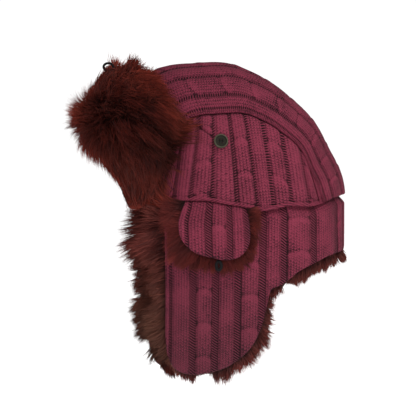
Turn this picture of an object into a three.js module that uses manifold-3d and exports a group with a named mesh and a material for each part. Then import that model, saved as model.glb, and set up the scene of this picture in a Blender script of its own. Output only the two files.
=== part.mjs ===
// Cable-knit winter hat with fur-lined earflaps, millimetres, +Z up, the face towards -Y.
// The origin is the middle of the head opening, at the height of the crown's hem.

import * as THREE from 'three';
import { mergeVertices } from 'three/addons/utils/BufferGeometryUtils.js';
import Module from 'manifold-3d';

const wasm = await Module();
wasm.setup();

// Driving dimensions
const HALF_WIDTH = 86; // half of the crown's width at the hem
const FRONT_REACH = 106; // from the origin to the front of the hem
const BACK_REACH = 107.5; // from the origin to the back of the hem
const CROWN_FULLNESS = 2.3; // exponent of the crown's cross-sections, 2 is an ellipse
const KNIT_WALL = 4; // thickness of the knit between its ribs
const RIB_HEIGHT = 2.4; // how far a rib stands above the knit
const RIB_SHOULDER = 0.27; // where its flat top starts, as a share of the rib's width
const GAP = 0.35; // clearance between neighbouring pieces
const FACET = 1.2; // more clearance where the facets of two curved pieces don't line up
const FLAP_TILT = 15; // how far the tips of the earflaps hang inwards
const FLAP_LENGTH = 175; // from the hem to the tips of the earflaps

// The crown's mid-plane outline below its ribs, as a radius about the origin. Angles go from the front hem
// over the top to the back hem, in degrees.
const crownOutline = [
  { angle: 0, radius: 106 },
  { angle: 13, radius: 111 },
  { angle: 26, radius: 123 },
  { angle: 38.5, radius: 141 },
  { angle: 47, radius: 157 },
  { angle: 55.3, radius: 166.5 },
  { angle: 72, radius: 154.5 },
  { angle: 84.5, radius: 147.4 },
  { angle: 92.4, radius: 139.8 },
  { angle: 104, radius: 130 },
  { angle: 116, radius: 121.4 },
  { angle: 128, radius: 116.2 },
  { angle: 150, radius: 108 },
  { angle: 165, radius: 109 },
  { angle: 180, radius: 107.5 },
];

// Where the seam between the centre panel and a side panel runs, as a share of the outline's radius
const crownSeam = [
  { angle: 0, share: 0.905 },
  { angle: 13, share: 0.88 },
  { angle: 26, share: 0.8 },
  { angle: 38.5, share: 0.72 },
  { angle: 47, share: 0.685 },
  { angle: 68, share: 0.647 },
  { angle: 104, share: 0.655 },
  { angle: 130, share: 0.667 },
  { angle: 152, share: 0.646 },
  { angle: 166, share: 0.65 },
  { angle: 180, share: 0.7 },
];

// Height of the crown's hem from front to back
const hemLine = [
  { y: -110, z: 3 },
  { y: -84, z: 5 },
  { y: -55, z: 5 },
  { y: -30, z: 1 },
  { y: -6, z: -3 },
  { y: 8, z: -5.7 },
  { y: 22, z: -3 },
  { y: 37, z: 0 },
  { y: 58, z: -1 },
  { y: 69, z: 1.4 },
  { y: 87, z: 7.7 },
  { y: 110, z: 13 },
];

// Valleys between the side panel's ribs: the angle where each meets the seam, and its y at the hem
const sideValleys = [
  { angle: 28, hem: -94 },
  { angle: 44, hem: -83 },
  { angle: 57.6, hem: -68 },
  { angle: 64.9, hem: -47 },
  { angle: 73.8, hem: -21 },
  { angle: 83.4, hem: 1 },
  { angle: 94.4, hem: 17 },
  { angle: 109.4, hem: 37 },
  { angle: 128.9, hem: 57 },
  { angle: 147.4, hem: 69 },
];

// Valleys between the centre panel's ribs, as shares of the way from the middle to the seam
const centerValleys = [0.23, 0.49, 0.78, 0.94];

// Valleys between the band's ribs, measured along the band from the centre back
const bandValleys = [10.5, 31.5, 52.3, 88.3, 122.8, 145, 170.6, 194, 218.3, 247.4];
const BAND_END = 256.4; // the earflap's front edge, measured the same way
const FUR_END = 273; // the front edge of the fur behind it

// Lower edges of the knit band and of its fur, measured along the band from the centre back
const lowerEdge = [
  { arc: 0, knit: -47, fur: -56 },
  { arc: 38, knit: -48, fur: -57 },
  { arc: 71, knit: -52.5, fur: -66 },
  { arc: 88, knit: -59, fur: -73 },
  { arc: 109, knit: -68, fur: -83 },
  { arc: 122, knit: -78, fur: -87 },
  { arc: 128, knit: -82, fur: -88 },
  { arc: 134, knit: -84, fur: -93 },
  { arc: 139, knit: -86, fur: -122 },
  { arc: 146, knit: -116, fur: -147 },
  { arc: 152, knit: -134, fur: -155 },
  { arc: 164, knit: -152, fur: -165 },
  { arc: 185, knit: -167, fur: -181 },
  { arc: 203, knit: -172.5, fur: -182 },
  { arc: 220, knit: -174.5, fur: -184 },
  { arc: 235, knit: -172, fur: -184 },
  { arc: 246, knit: -166, fur: -180 },
  { arc: 253, knit: -152, fur: -171 },
  { arc: 256.4, knit: -116, fur: -164 },
  { arc: 264, knit: -116, fur: -146 },
  { arc: 273, knit: -116, fur: -116 },
];

// The knit tabs over the earflaps
const TAB_ARC = 199.6; // the tab's middle, measured along the band from the centre back
const TAB_HALF = 35.4; // half of its width
const TAB_STRAIGHT = 22; // length of its straight sides
const TAB_ROUND = 35; // length of its rounded end
const TAB_STAND = 10.4; // how far the fur holds it off the hat
const tabValleys = [181.4, 201, 223];

// The turned-up front flap: its middle and its ends, from the base to the top edge
const flapMiddle = [
  { share: 0, y: -111.6, z: 3.5 },
  { share: 0.3, y: -127, z: 38 },
  { share: 0.6, y: -149, z: 80 },
  { share: 0.8, y: -151, z: 108 },
  { share: 1, y: -139.5, z: 138.5 },
];
const flapEnds = [
  { share: 0, y: -101, z: 6 },
  { share: 0.3, y: -92, z: 28 },
  { share: 0.6, y: -82, z: 52 },
  { share: 1, y: -71, z: 76 },
];
const flapPile = [
  { share: 0, deep: 4 },
  { share: 0.28, deep: 8 },
  { share: 0.45, deep: 18 },
  { share: 0.62, deep: 29 },
  { share: 0.72, deep: 24 },
  { share: 0.85, deep: 11 },
  { share: 1, deep: 8 },
];

// The fittings
const BUTTON_RADIUS = 7.5;
const BUTTON_PLACE = { y: -36, z: 65.5 };
const LOOP_CORD = 1.1; // radius of the elastic cord

// Colours and surfaces
const knitMaterial = new THREE.MeshStandardMaterial({ color: 0x7d3749, roughness: 0.95, metalness: 0 });
const furMaterial = new THREE.MeshStandardMaterial({ color: 0x4a1c18, roughness: 1, metalness: 0 });
const buttonMaterial = new THREE.MeshStandardMaterial({ color: 0x36352c, roughness: 0.35, metalness: 0 });
const elasticMaterial = new THREE.MeshStandardMaterial({ color: 0x151214, roughness: 0.8, metalness: 0 });

const radians = THREE.MathUtils.degToRad;
const smooth = (value) => THREE.MathUtils.smoothstep(value, 0, 1);

// Reads a column of a table at a place along its key column, with smooth runs between the rows
function read(rows, key, column, place) {
  const last = rows.length - 1;
  if (place <= rows[0][key]) {
    return rows[0][column];
  }
  if (place >= rows[last][key]) {
    return rows[last][column];
  }
  const next = rows.findIndex((row) => row[key] > place);
  const slope = (low, high) => {
    return (rows[high][column] - rows[low][column]) / (rows[high][key] - rows[low][key]);
  };
  const bend = (row) => {
    if (row === 0 || row === last) {
      return slope(Math.max(row - 1, 0), Math.min(row + 1, last));
    }
    const before = slope(row - 1, row);
    const after = slope(row, row + 1);
    return before * after > 0 ? (2 * before * after) / (before + after) : 0;
  };
  const span = rows[next][key] - rows[next - 1][key];
  const along = (place - rows[next - 1][key]) / span;
  const rise = rows[next][column] - rows[next - 1][column];
  const start = bend(next - 1) * span;
  const end = bend(next) * span;
  return rows[next - 1][column] + along * (start
    + along * (3 * rise - 2 * start - end + along * (start + end - 2 * rise)));
}

const hemAt = (y) => read(hemLine, 'y', 'z', y);

// Places of a row of ribs between valleys, each with a flat top: two shoulders stand between valleys
function ribStations(edges) {
  const stations = [{ at: edges[0], relief: 0 }];
  for (let rib = 1; rib < edges.length; rib += 1) {
    const from = edges[rib - 1];
    const width = edges[rib] - from;
    stations.push({ at: from + width * RIB_SHOULDER, relief: RIB_HEIGHT });
    stations.push({ at: from + width * (1 - RIB_SHOULDER), relief: RIB_HEIGHT });
    stations.push({ at: edges[rib], relief: 0 });
  }
  return stations;
}

// Adds the other half of a row of places that starts at or beyond the middle
function mirrored(places) {
  const others = places.filter((place) => place > 0).map((place) => -place).reverse();
  return others.concat(places);
}

// A closed solid from an outer and an inner grid of points with the same number of columns and rows
function sheetSolid(outer, inner) {
  const columns = outer.length;
  const rows = outer[0].length;
  const points = [...outer.flat(), ...inner.flat()];
  const positions = new Float32Array(points.flatMap((point) => point.toArray()));
  const outerAt = (column, row) => column * rows + row;
  const innerAt = (column, row) => columns * rows + column * rows + row;
  const index = [];
  const quad = (a, b, c, d) => index.push(a, b, c, a, c, d);
  for (let column = 0; column < columns - 1; column += 1) {
    for (let row = 0; row < rows - 1; row += 1) {
      quad(outerAt(column, row), outerAt(column + 1, row),
        outerAt(column + 1, row + 1), outerAt(column, row + 1));
      quad(innerAt(column, row), innerAt(column, row + 1),
        innerAt(column + 1, row + 1), innerAt(column + 1, row));
    }
  }
  for (let column = 0; column < columns - 1; column += 1) {
    quad(outerAt(column, 0), innerAt(column, 0), innerAt(column + 1, 0), outerAt(column + 1, 0));
    quad(outerAt(column + 1, rows - 1), innerAt(column + 1, rows - 1),
      innerAt(column, rows - 1), outerAt(column, rows - 1));
  }
  for (let row = 0; row < rows - 1; row += 1) {
    quad(outerAt(0, row + 1), innerAt(0, row + 1), innerAt(0, row), outerAt(0, row));
    quad(outerAt(columns - 1, row), innerAt(columns - 1, row),
      innerAt(columns - 1, row + 1), outerAt(columns - 1, row + 1));
  }
  return facingOut(positions, index);
}

// Turns the triangles over where they enclose a negative volume
function facingOut(positions, index) {
  const corner = (item) => new THREE.Vector3().fromArray(positions, 3 * item);
  let volume = 0;
  for (let start = 0; start < index.length; start += 3) {
    const normal = corner(index[start + 1]).cross(corner(index[start + 2]));
    volume += corner(index[start]).dot(normal);
  }
  const geometry = new THREE.BufferGeometry();
  geometry.setAttribute('position', new THREE.BufferAttribute(positions, 3));
  geometry.setIndex(volume < 0 ? index.reverse() : index);
  geometry.computeVertexNormals();
  return geometry;
}

// The point of a surface at (a, b), moved along its normal. The normal points away from the centre.
function offsetPoint(surface, a, b, stepA, stepB, distance, centre) {
  const point = surface(a, b);
  const alongA = surface(a + stepA, b).sub(surface(a - stepA, b));
  const alongB = surface(a, b + stepB).sub(surface(a, b - stepB));
  const normal = alongA.cross(alongB).normalize();
  if (normal.dot(point.clone().sub(centre)) < 0) {
    normal.negate();
  }
  return point.addScaledVector(normal, distance);
}

const HEAD_CENTRE = new THREE.Vector3(0, 0, 20);

// Crown

const crownRadius = (angle) => read(crownOutline, 'angle', 'radius', angle);
const seamShare = (angle) => read(crownSeam, 'angle', 'share', angle);

// Half-width of the crown over a point of its mid-plane
function crownHalfWidth(y, z) {
  const height = Math.max(z, 0);
  const angle = THREE.MathUtils.radToDeg(Math.atan2(height, -y));
  const share = Math.min(Math.hypot(y, height) / crownRadius(angle), 0.999);
  return HALF_WIDTH * (1 - share ** CROWN_FULLNESS) ** (1 / CROWN_FULLNESS);
}

// A point of the centre panel: turn goes from 0 in the middle to 90 at the crown's side
function centerSurface(turn, angle) {
  const share = Math.abs(Math.cos(radians(turn))) ** (2 / CROWN_FULLNESS);
  const across = Math.abs(Math.sin(radians(turn))) ** (2 / CROWN_FULLNESS);
  const reach = crownRadius(angle) * share;
  return new THREE.Vector3(
    Math.sign(turn) * HALF_WIDTH * across,
    -reach * Math.cos(radians(angle)),
    reach * Math.sin(radians(angle)),
  );
}

const seamTurn = (angle) => {
  const share = seamShare(angle) ** (CROWN_FULLNESS / 2);
  return THREE.MathUtils.radToDeg(Math.acos(share));
};

// The angle where a line of the crown at a share of its radius comes down to the hem
function hemAngle(shareOf, start, direction) {
  let angle = start;
  for (let pass = 0; pass < 12; pass += 1) {
    const reach = crownRadius(angle) * shareOf(angle);
    const hem = hemAt(-reach * Math.cos(radians(angle)));
    const lift = THREE.MathUtils.radToDeg(Math.asin(hem / reach));
    angle = start + direction * lift;
  }
  return angle;
}

const SEAM_FRONT = hemAngle(seamShare, 0, 1);
const SEAM_BACK = hemAngle(seamShare, 180, -1);

const CENTER_ROWS = 18;
const CENTER_CROWDING = 0.35; // draws the rows together where the outline bends most
const CREST_ROW = 9; // where the strip's front and back halves meet
const CREST_GAP = 0.16; // degrees between the two halves
const SEAM_EDGE = { at: 0.997, relief: RIB_HEIGHT * 0.6 }; // the rolled edge beside the seam

// One half of the centre strip, from its first row to its last
function centerPanel(firstRow, lastRow) {
  const half = ribStations([0, ...centerValleys, 1]).slice(1);
  half.pop();
  half.push(SEAM_EDGE);
  const stations = mirrored([0, ...half.map((station) => station.at)]);
  const reliefAt = (share) => {
    const station = half.find((item) => item.at === Math.abs(share));
    return station ? station.relief : RIB_HEIGHT;
  };
  const outer = [];
  const inner = [];
  for (const share of stations) {
    const shareOf = (angle) => {
      return Math.cos(radians(share * seamTurn(angle))) ** (2 / CROWN_FULLNESS);
    };
    const front = hemAngle(shareOf, 0, 1);
    const back = hemAngle(shareOf, 180, -1);
    const outerColumn = [];
    const innerColumn = [];
    for (let row = firstRow; row <= lastRow; row += 1) {
      const crowding = CENTER_CROWDING * Math.sin((Math.PI * 2 * row) / CENTER_ROWS);
      const along = (row + crowding) / CENTER_ROWS;
      const shift = row === CREST_ROW ? Math.sign(firstRow - 1) * (CREST_GAP / 2) : 0;
      const angle = front + (back - front) * along + shift;
      const turn = share * seamTurn(angle);
      const move = (distance) => {
        return offsetPoint(centerSurface, turn, angle, 0.5, 0.5, distance, HEAD_CENTRE);
      };
      outerColumn.push(move(reliefAt(share)));
      innerColumn.push(move(-KNIT_WALL));
    }
    outer.push(outerColumn);
    inner.push(innerColumn);
  }
  return sheetSolid(outer, inner);
}

// Front and back ends of a side panel, and how far down its rows lie
const SIDE_FRONT = { angle: 11, hem: -96 };
const SIDE_BACK = { angle: 168, hem: 73 };
const sideRows = [0, 0.18, 0.38, 0.58, 0.76, 0.9, 1];
const HEM_FOLD = 1; // how far the folded hem stands out between the ribs

// A side panel hangs from the seam to the hem in ribs that fan out a little
function sidePanel(side) {
  const valleys = [SIDE_FRONT, ...sideValleys, SIDE_BACK];
  const seamAngles = ribStations(valleys.map((valley) => valley.angle));
  const hemPlaces = ribStations(valleys.map((valley) => valley.hem));
  const surface = (y, z) => new THREE.Vector3(side * crownHalfWidth(y, z), y, z);
  const outer = [];
  const inner = [];
  seamAngles.forEach((seam, column) => {
    const angle = seam.at;
    const reach = crownRadius(angle) * seamShare(angle) - FACET;
    const top = { y: -reach * Math.cos(radians(angle)), z: reach * Math.sin(radians(angle)) };
    const foot = { y: hemPlaces[column].at, z: hemAt(hemPlaces[column].at) };
    const outerColumn = [];
    const innerColumn = [];
    for (const down of sideRows) {
      const y = top.y + (foot.y - top.y) * down;
      const z = top.z + (foot.z - top.z) * down;
      const move = (distance) => offsetPoint(surface, y, z, 0.5, 0.5, distance, HEAD_CENTRE);
      const fold = down === 1 ? HEM_FOLD : 0;
      outerColumn.push(move(Math.max(seam.relief, fold)));
      innerColumn.push(move(-KNIT_WALL));
    }
    outer.push(outerColumn);
    inner.push(innerColumn);
  });
  return sheetSolid(outer, inner);
}

// Band and earflaps

// The hat's plan as a row of points, with distances measured from the centre back
const PLAN_STEPS = 720;
const planPoints = [];
for (let step = 0, arc = 0; step <= PLAN_STEPS; step += 1) {
  const turn = (Math.PI * step) / PLAN_STEPS;
  const y = Math.sign(Math.cos(turn)) * Math.abs(Math.cos(turn)) ** (2 / CROWN_FULLNESS);
  const x = Math.sin(turn) ** (2 / CROWN_FULLNESS);
  const point = { x: x * HALF_WIDTH, y: y * (y < 0 ? FRONT_REACH : BACK_REACH) };
  if (step > 0) {
    const before = planPoints[step - 1];
    arc += Math.hypot(point.x - before.x, point.y - before.y);
  }
  planPoints.push({ ...point, arc });
}

function planPlace(arc, column) {
  const last = planPoints.length - 1;
  let next = planPoints.findIndex((point) => point.arc > arc);
  next = next < 0 ? last : Math.max(next, 1);
  const from = planPoints[next - 1];
  const along = (arc - from.arc) / (planPoints[next].arc - from.arc);
  return from[column] + (planPoints[next][column] - from[column]) * along;
}

const FLAP_SQUARING = 0.8; // how much squarer the plan grows towards the tips of the earflaps
const NAPE_ARC = 60; // the plan keeps its shape this far round from the centre back
const NAPE_RUN = 40; // and changes over this length

// The surface that the band and everything hung over it follow. It grows squarer and leans inwards
// towards the tips of the earflaps.
function hangSurface(arc, z) {
  const drop = Math.min(Math.max(-z, 0) / FLAP_LENGTH, 1.2);
  const fullness = CROWN_FULLNESS + FLAP_SQUARING * smooth(Math.min(drop * 1.6, 1));
  const halfWidth = HALF_WIDTH - FLAP_TILT * drop ** 1.3;
  const y = planPlace(Math.abs(arc), 'y');
  const share = Math.min(Math.abs(y) / (y < 0 ? FRONT_REACH : BACK_REACH), 1);
  const bent = halfWidth * (1 - share ** fullness) ** (1 / fullness);
  const straight = planPlace(Math.abs(arc), 'x') * (halfWidth / HALF_WIDTH);
  const nape = smooth((NAPE_ARC - Math.abs(arc)) / NAPE_RUN);
  return new THREE.Vector3(Math.sign(arc) * (bent + (straight - bent) * nape), y, z);
}

function hang(arc, z, distance) {
  const centre = new THREE.Vector3(0, 0, z);
  return offsetPoint(hangSurface, arc, z, 1, 1, distance, centre);
}

const hemOver = (arc) => hemAt(planPlace(Math.abs(arc), 'y'));
const BAND_TUCK = 6; // how far the band's top goes up inside the crown
const BAND_INSET = KNIT_WALL + GAP + FACET; // the band's outer face inside the crown's
const BAND_REST = 1.2; // its inset further down, where it bulges out again
const BULGE_RUN = 16; // the height over which it does so
const bandBulge = (below) => smooth(below / BULGE_RUN);
const bandInset = (below) => BAND_INSET + (BAND_REST - BAND_INSET) * bandBulge(below);

const LAST_VALLEY = bandValleys[bandValleys.length - 1];
const bandMiddle = { at: 4.8, relief: RIB_HEIGHT }; // the shoulder of the rib at the centre back
const bandRows = [0.25, 0.5, 0.75, 0.93, 1]; // below the bulge

function bandStations() {
  const half = ribStations(bandValleys).filter((station) => station.at < LAST_VALLEY);
  const middle = [bandMiddle];
  const front = [
    { at: LAST_VALLEY, relief: 0 },
    { at: BAND_END - 5.9, relief: RIB_HEIGHT },
    { at: BAND_END - 2.9, relief: RIB_HEIGHT },
    { at: BAND_END - 1, relief: RIB_HEIGHT * 0.7 },
    { at: BAND_END, relief: 0 },
  ];
  const right = [...middle, ...half, ...front];
  const left = right.map((station) => ({ at: -station.at, relief: station.relief })).reverse();
  return [...left, ...right];
}

function earflapBand() {
  const outer = [];
  const inner = [];
  for (const station of bandStations()) {
    const hem = hemOver(station.at);
    const low = read(lowerEdge, 'arc', 'knit', Math.abs(station.at));
    const bulgeEnd = hem - BULGE_RUN + 2;
    const heights = [hem + BAND_TUCK, hem - 2, bulgeEnd];
    for (const share of bandRows) {
      heights.push(bulgeEnd + (low - bulgeEnd) * share);
    }
    outer.push(heights.map((z) => {
      const below = hem - z;
      return hang(station.at, z, station.relief * bandBulge(below) - bandInset(below));
    }));
    inner.push(heights.map((z) => hang(station.at, z, -bandInset(hem - z) - KNIT_WALL)));
  }
  return sheetSolid(outer, inner);
}

// The fur behind the band: a backing with locks on its inner side, which stand out below the knit
const FUR_BACKING = 3;
const FUR_PILE = 9;
const LOCK = 3.5; // how far neighbouring locks differ
const FUR_THINNING = 0.12; // the share of its height over which the pile thins out to the edge
const furColumns = [8, 24, 40, 56, 73, 90, 106, 118, 126, 132, 137, 143, 150, 160, 173, 187, 201,
  215, 228, 239, 247, 253, 258, 265, FUR_END];
const furRows = [0, 0.12, 0.3, 0.48, 0.66, 0.82, 0.93, 1];
const FRINGE_SPREAD = 1.3; // how much further the fringe reaches where it is high up

// Past the earflap's front edge the fur goes straight on, but inside the crown it follows the wall
function fringe(arc, z, below, distance) {
  const round = hang(arc, z, distance);
  const past = Math.abs(arc) - BAND_END;
  if (past <= 0) {
    return round;
  }
  const side = Math.sign(arc);
  const ahead = new THREE.Vector3(-0.2 * side, -0.98, 0);
  const reach = past * (FRINGE_SPREAD + (1 - FRINGE_SPREAD) * smooth((-z - 75) / 20));
  const straight = hang(side * BAND_END, z, distance).addScaledVector(ahead, reach);
  return round.lerp(straight, smooth((below - 8) / 20));
}

function earflapLining() {
  const outer = [];
  const inner = [];
  mirrored(furColumns).forEach((arc, column) => {
    const hem = hemOver(arc);
    const low = read(lowerEdge, 'arc', 'fur', Math.abs(arc)) + (column % 2 ? LOCK : 0);
    const top = hem + BAND_TUCK - 2;
    const edge = Math.abs(arc) > BAND_END ? (Math.abs(arc) - BAND_END) / (FUR_END - BAND_END) : 0;
    const outerColumn = [];
    const innerColumn = [];
    furRows.forEach((share, row) => {
      const z = top + (low - top) * share;
      const inset = bandInset(hem - z) + KNIT_WALL + GAP + FACET;
      const thin = Math.min((1 - share) / FUR_THINNING, 1) * (1 - edge);
      const lock = (column + row) % 2 ? LOCK : 0;
      const deep = FUR_BACKING + thin * (FUR_PILE + lock);
      outerColumn.push(fringe(arc, z, hem - z, -inset));
      innerColumn.push(fringe(arc, z, hem - z, -inset - deep));
    });
    outer.push(outerColumn);
    inner.push(innerColumn);
  });
  return sheetSolid(outer, inner);
}

// Tabs over the earflaps

const TAB_LIFT = 25; // the tab comes out from under the hem over this length
const TAB_CORNERS = 2.4; // exponent of its rounded end
const tabRows = [0, 0.14, 0.3, 0.5, 0.72, 0.9, 1];
const tabStand = (below) => smooth(below / TAB_LIFT);
const tabInner = (below) => -KNIT_WALL + 0.1 + (TAB_STAND + KNIT_WALL) * tabStand(below);

function tabLength(arc, extraWidth, extraLength) {
  const across = Math.min(Math.abs(arc - TAB_ARC) / (TAB_HALF + extraWidth), 1);
  const round = (1 - across ** TAB_CORNERS) ** (1 / TAB_CORNERS);
  return TAB_STRAIGHT + (TAB_ROUND + extraLength) * round;
}

function earTab(side) {
  const ribs = ribStations([TAB_ARC - TAB_HALF, ...tabValleys, TAB_ARC + TAB_HALF]);
  const outer = [];
  const inner = [];
  for (const station of ribs) {
    const hem = hemOver(station.at);
    const length = tabLength(station.at, 0.3, 0);
    const depths = tabRows.map((share) => GAP + (length - GAP) * share);
    const at = side * station.at;
    outer.push(depths.map((below) => {
      const relief = station.relief * Math.min(below / 6, 1);
      return hang(at, hem - below, tabInner(below) + KNIT_WALL + relief);
    }));
    inner.push(depths.map((below) => hang(at, hem - below, tabInner(below))));
  }
  return sheetSolid(outer, inner);
}

const TAB_FUR_TOP = 15; // the fur starts this far below the hem
const TAB_FUR_SIDE = 10; // and stands out this far beside the tab
const TAB_FUR_BELOW = 13; // and this far below it
const TAB_FUR_BASE = RIB_HEIGHT - BAND_REST + GAP;
const TAB_FUR_COLUMNS = 14;
const tabFurRows = [0, 0.25, 0.5, 0.75, 0.9, 1];

function earTabFur(side) {
  const half = TAB_HALF + TAB_FUR_SIDE;
  const outer = [];
  const inner = [];
  for (let column = 0; column <= TAB_FUR_COLUMNS; column += 1) {
    const across = Math.sin(((column / TAB_FUR_COLUMNS) - 0.5) * Math.PI);
    const arc = TAB_ARC + half * across;
    const hem = hemOver(arc);
    const lock = column % 2 ? LOCK : 0;
    const length = tabLength(arc, TAB_FUR_SIDE + 0.3, TAB_FUR_BELOW) - lock + 6;
    const outerColumn = [];
    const innerColumn = [];
    for (const share of tabFurRows) {
      const below = TAB_FUR_TOP + (length - TAB_FUR_TOP) * share;
      const edge = Math.max(Math.abs(across) ** 6, share ** 8);
      const room = tabInner(below) - 2 * GAP - TAB_FUR_BASE;
      outerColumn.push(hang(side * arc, hem - below, TAB_FUR_BASE + room * (1 - 0.5 * edge)));
      innerColumn.push(hang(side * arc, hem - below, TAB_FUR_BASE + 0.25 * room * edge));
    }
    outer.push(outerColumn);
    inner.push(innerColumn);
  }
  return sheetSolid(outer, inner);
}

// Turned-up front flap

// How far its middle surface stands off the crown's at the ends
const FLAP_CLEARANCE = RIB_HEIGHT + KNIT_WALL / 2 + GAP;
const FLAP_LOBE = 9; // how far its top edge rises between the middle and the ends
const FLAP_ARCH = 0.6; // exponent of the rise of its top edge towards the middle

// A point over the crown's side at one end of the flap
function flapEnd(up, back, distance) {
  const surface = (y, z) => new THREE.Vector3(crownHalfWidth(y, z), y, z);
  const y = read(flapEnds, 'share', 'y', up) + back;
  const z = read(flapEnds, 'share', 'z', up);
  return offsetPoint(surface, y, z, 0.5, 0.5, distance, HEAD_CENTRE);
}

// across goes from -1 to 1 between the ends, up from 0 at the base to 1 at the top edge
function flapSurface(across, up) {
  const turn = Math.min(Math.abs(across), 1) * (Math.PI / 2);
  const middle = { y: read(flapMiddle, 'share', 'y', up), z: read(flapMiddle, 'share', 'z', up) };
  const end = flapEnd(up, 0, FLAP_CLEARANCE);
  const lobe = FLAP_LOBE * up * Math.sin(2 * turn) ** 2;
  return new THREE.Vector3(
    Math.sign(across) * end.x * Math.sin(turn),
    end.y + (middle.y - end.y) * Math.cos(turn),
    end.z + (middle.z - end.z) * Math.cos(turn) ** FLAP_ARCH + lobe,
  );
}

// A point off the flap. Past the top edge it goes straight on, past the ends it follows the crown.
function flapPoint(across, up, distance) {
  const a = THREE.MathUtils.clamp(across, -0.99, 0.99);
  const u = THREE.MathUtils.clamp(up, 0.005, 0.995);
  const centre = new THREE.Vector3(0, -60, 60);
  const point = offsetPoint(flapSurface, a, u, 0.004, 0.004, distance, centre);
  if (Math.abs(across) > 1) {
    const end = flapEnd(u, 0, FLAP_CLEARANCE);
    const past = flapEnd(u, (Math.abs(across) - 1) * 100, FLAP_CLEARANCE);
    point.add(past.sub(end).multiply(new THREE.Vector3(Math.sign(across), 1, 1)));
  }
  const upWay = flapSurface(a, u + 0.004).sub(flapSurface(a, u - 0.004)).normalize();
  return point.addScaledVector(upWay, (up - u) * 100);
}

const FLAP_COLUMNS = 20;
const flapRows = [0, 0.13, 0.27, 0.41, 0.55, 0.69, 0.84, 1];
const FLAP_RIM = 0.11; // how far the fur stands out past the flap's edges
const NOTCH_WIDTH = 0.1; // the fur leaves a notch at the middle of the top edge for the loop
const RIM_LOCK = 0.03; // how far neighbouring locks differ at the top edge
const END_THINNING = 0.42; // how much shorter the pile is at the flap's ends

function frontFlap() {
  const outer = [];
  const inner = [];
  for (let column = 0; column <= FLAP_COLUMNS; column += 1) {
    const across = (column / FLAP_COLUMNS) * 2 - 1;
    outer.push(flapRows.map((up) => flapPoint(across, up, KNIT_WALL / 2)));
    inner.push(flapRows.map((up) => flapPoint(across, up, -KNIT_WALL / 2)));
  }
  return sheetSolid(outer, inner);
}

function frontFlapFur() {
  const outer = [];
  const inner = [];
  for (let column = -1; column <= FLAP_COLUMNS + 1; column += 1) {
    const place = (column / FLAP_COLUMNS) * 2 - 1;
    const beyond = Math.abs(place) > 1 ? 1 : 0;
    const across = THREE.MathUtils.clamp(place, -1 - FLAP_RIM, 1 + FLAP_RIM);
    const outerColumn = [];
    const innerColumn = [];
    [...flapRows, 1 + FLAP_RIM].forEach((share, row) => {
      const lock = (column + row) % 2 ? LOCK : 0;
      const notch = Math.exp(-((across / NOTCH_WIDTH) ** 2));
      const over = share > 1 ? 1 : 0;
      const up = share - over * (FLAP_RIM * notch + (column % 2) * RIM_LOCK);
      const side = 1 - END_THINNING * Math.abs(across) ** 3;
      const pile = read(flapPile, 'share', 'deep', share) * side + lock;
      const rim = Math.max(beyond, over);
      outerColumn.push(flapPoint(across, up, KNIT_WALL / 2 + GAP + pile * (1 - 0.25 * rim)));
      innerColumn.push(flapPoint(across, up, KNIT_WALL / 2 + GAP + pile * 0.45 * rim));
    });
    outer.push(outerColumn);
    inner.push(innerColumn);
  }
  return sheetSolid(outer, inner);
}

// Fittings

function solidOf(geometry) {
  const bare = geometry.index ? geometry.clone() : geometry;
  bare.deleteAttribute('normal');
  bare.deleteAttribute('uv');
  const merged = mergeVertices(bare, 1e-4);
  return new wasm.Manifold(new wasm.Mesh({
    numProp: 3,
    vertProperties: new Float32Array(merged.attributes.position.array),
    triVerts: new Uint32Array(merged.index.array),
  }));
}

function geometryOf(solid) {
  const mesh = solid.getMesh();
  return facingOut(new Float32Array(mesh.vertProperties), Array.from(mesh.triVerts));
}

const HOLE_RADIUS = 0.9;
const HOLE_PLACE = 2.1; // from the button's middle

// A four-hole button with a raised rim, its back at z = 0
function buttonGeometry() {
  const rimTop = 2.9;
  const plate = 2;
  const profile = [
    [0, 0], [BUTTON_RADIUS - 0.8, 0], [BUTTON_RADIUS, 0.8], [BUTTON_RADIUS, rimTop - 0.6],
    [BUTTON_RADIUS - 0.6, rimTop], [BUTTON_RADIUS - 1.5, rimTop], [BUTTON_RADIUS - 2.3, plate],
    [0, plate],
  ];
  const body = new THREE.LatheGeometry(profile.map(([r, h]) => new THREE.Vector2(r, h)), 18);
  body.rotateX(Math.PI / 2);
  let solid = solidOf(body);
  for (let hole = 0; hole < 4; hole += 1) {
    const turn = Math.PI / 4 + (hole * Math.PI) / 2;
    const drill = new THREE.CylinderGeometry(HOLE_RADIUS, HOLE_RADIUS, 3 * plate, 6);
    drill.rotateX(Math.PI / 2);
    drill.translate(HOLE_PLACE * Math.cos(turn), HOLE_PLACE * Math.sin(turn), plate / 2);
    solid = solid.subtract(solidOf(drill));
  }
  return geometryOf(solid);
}

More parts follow.
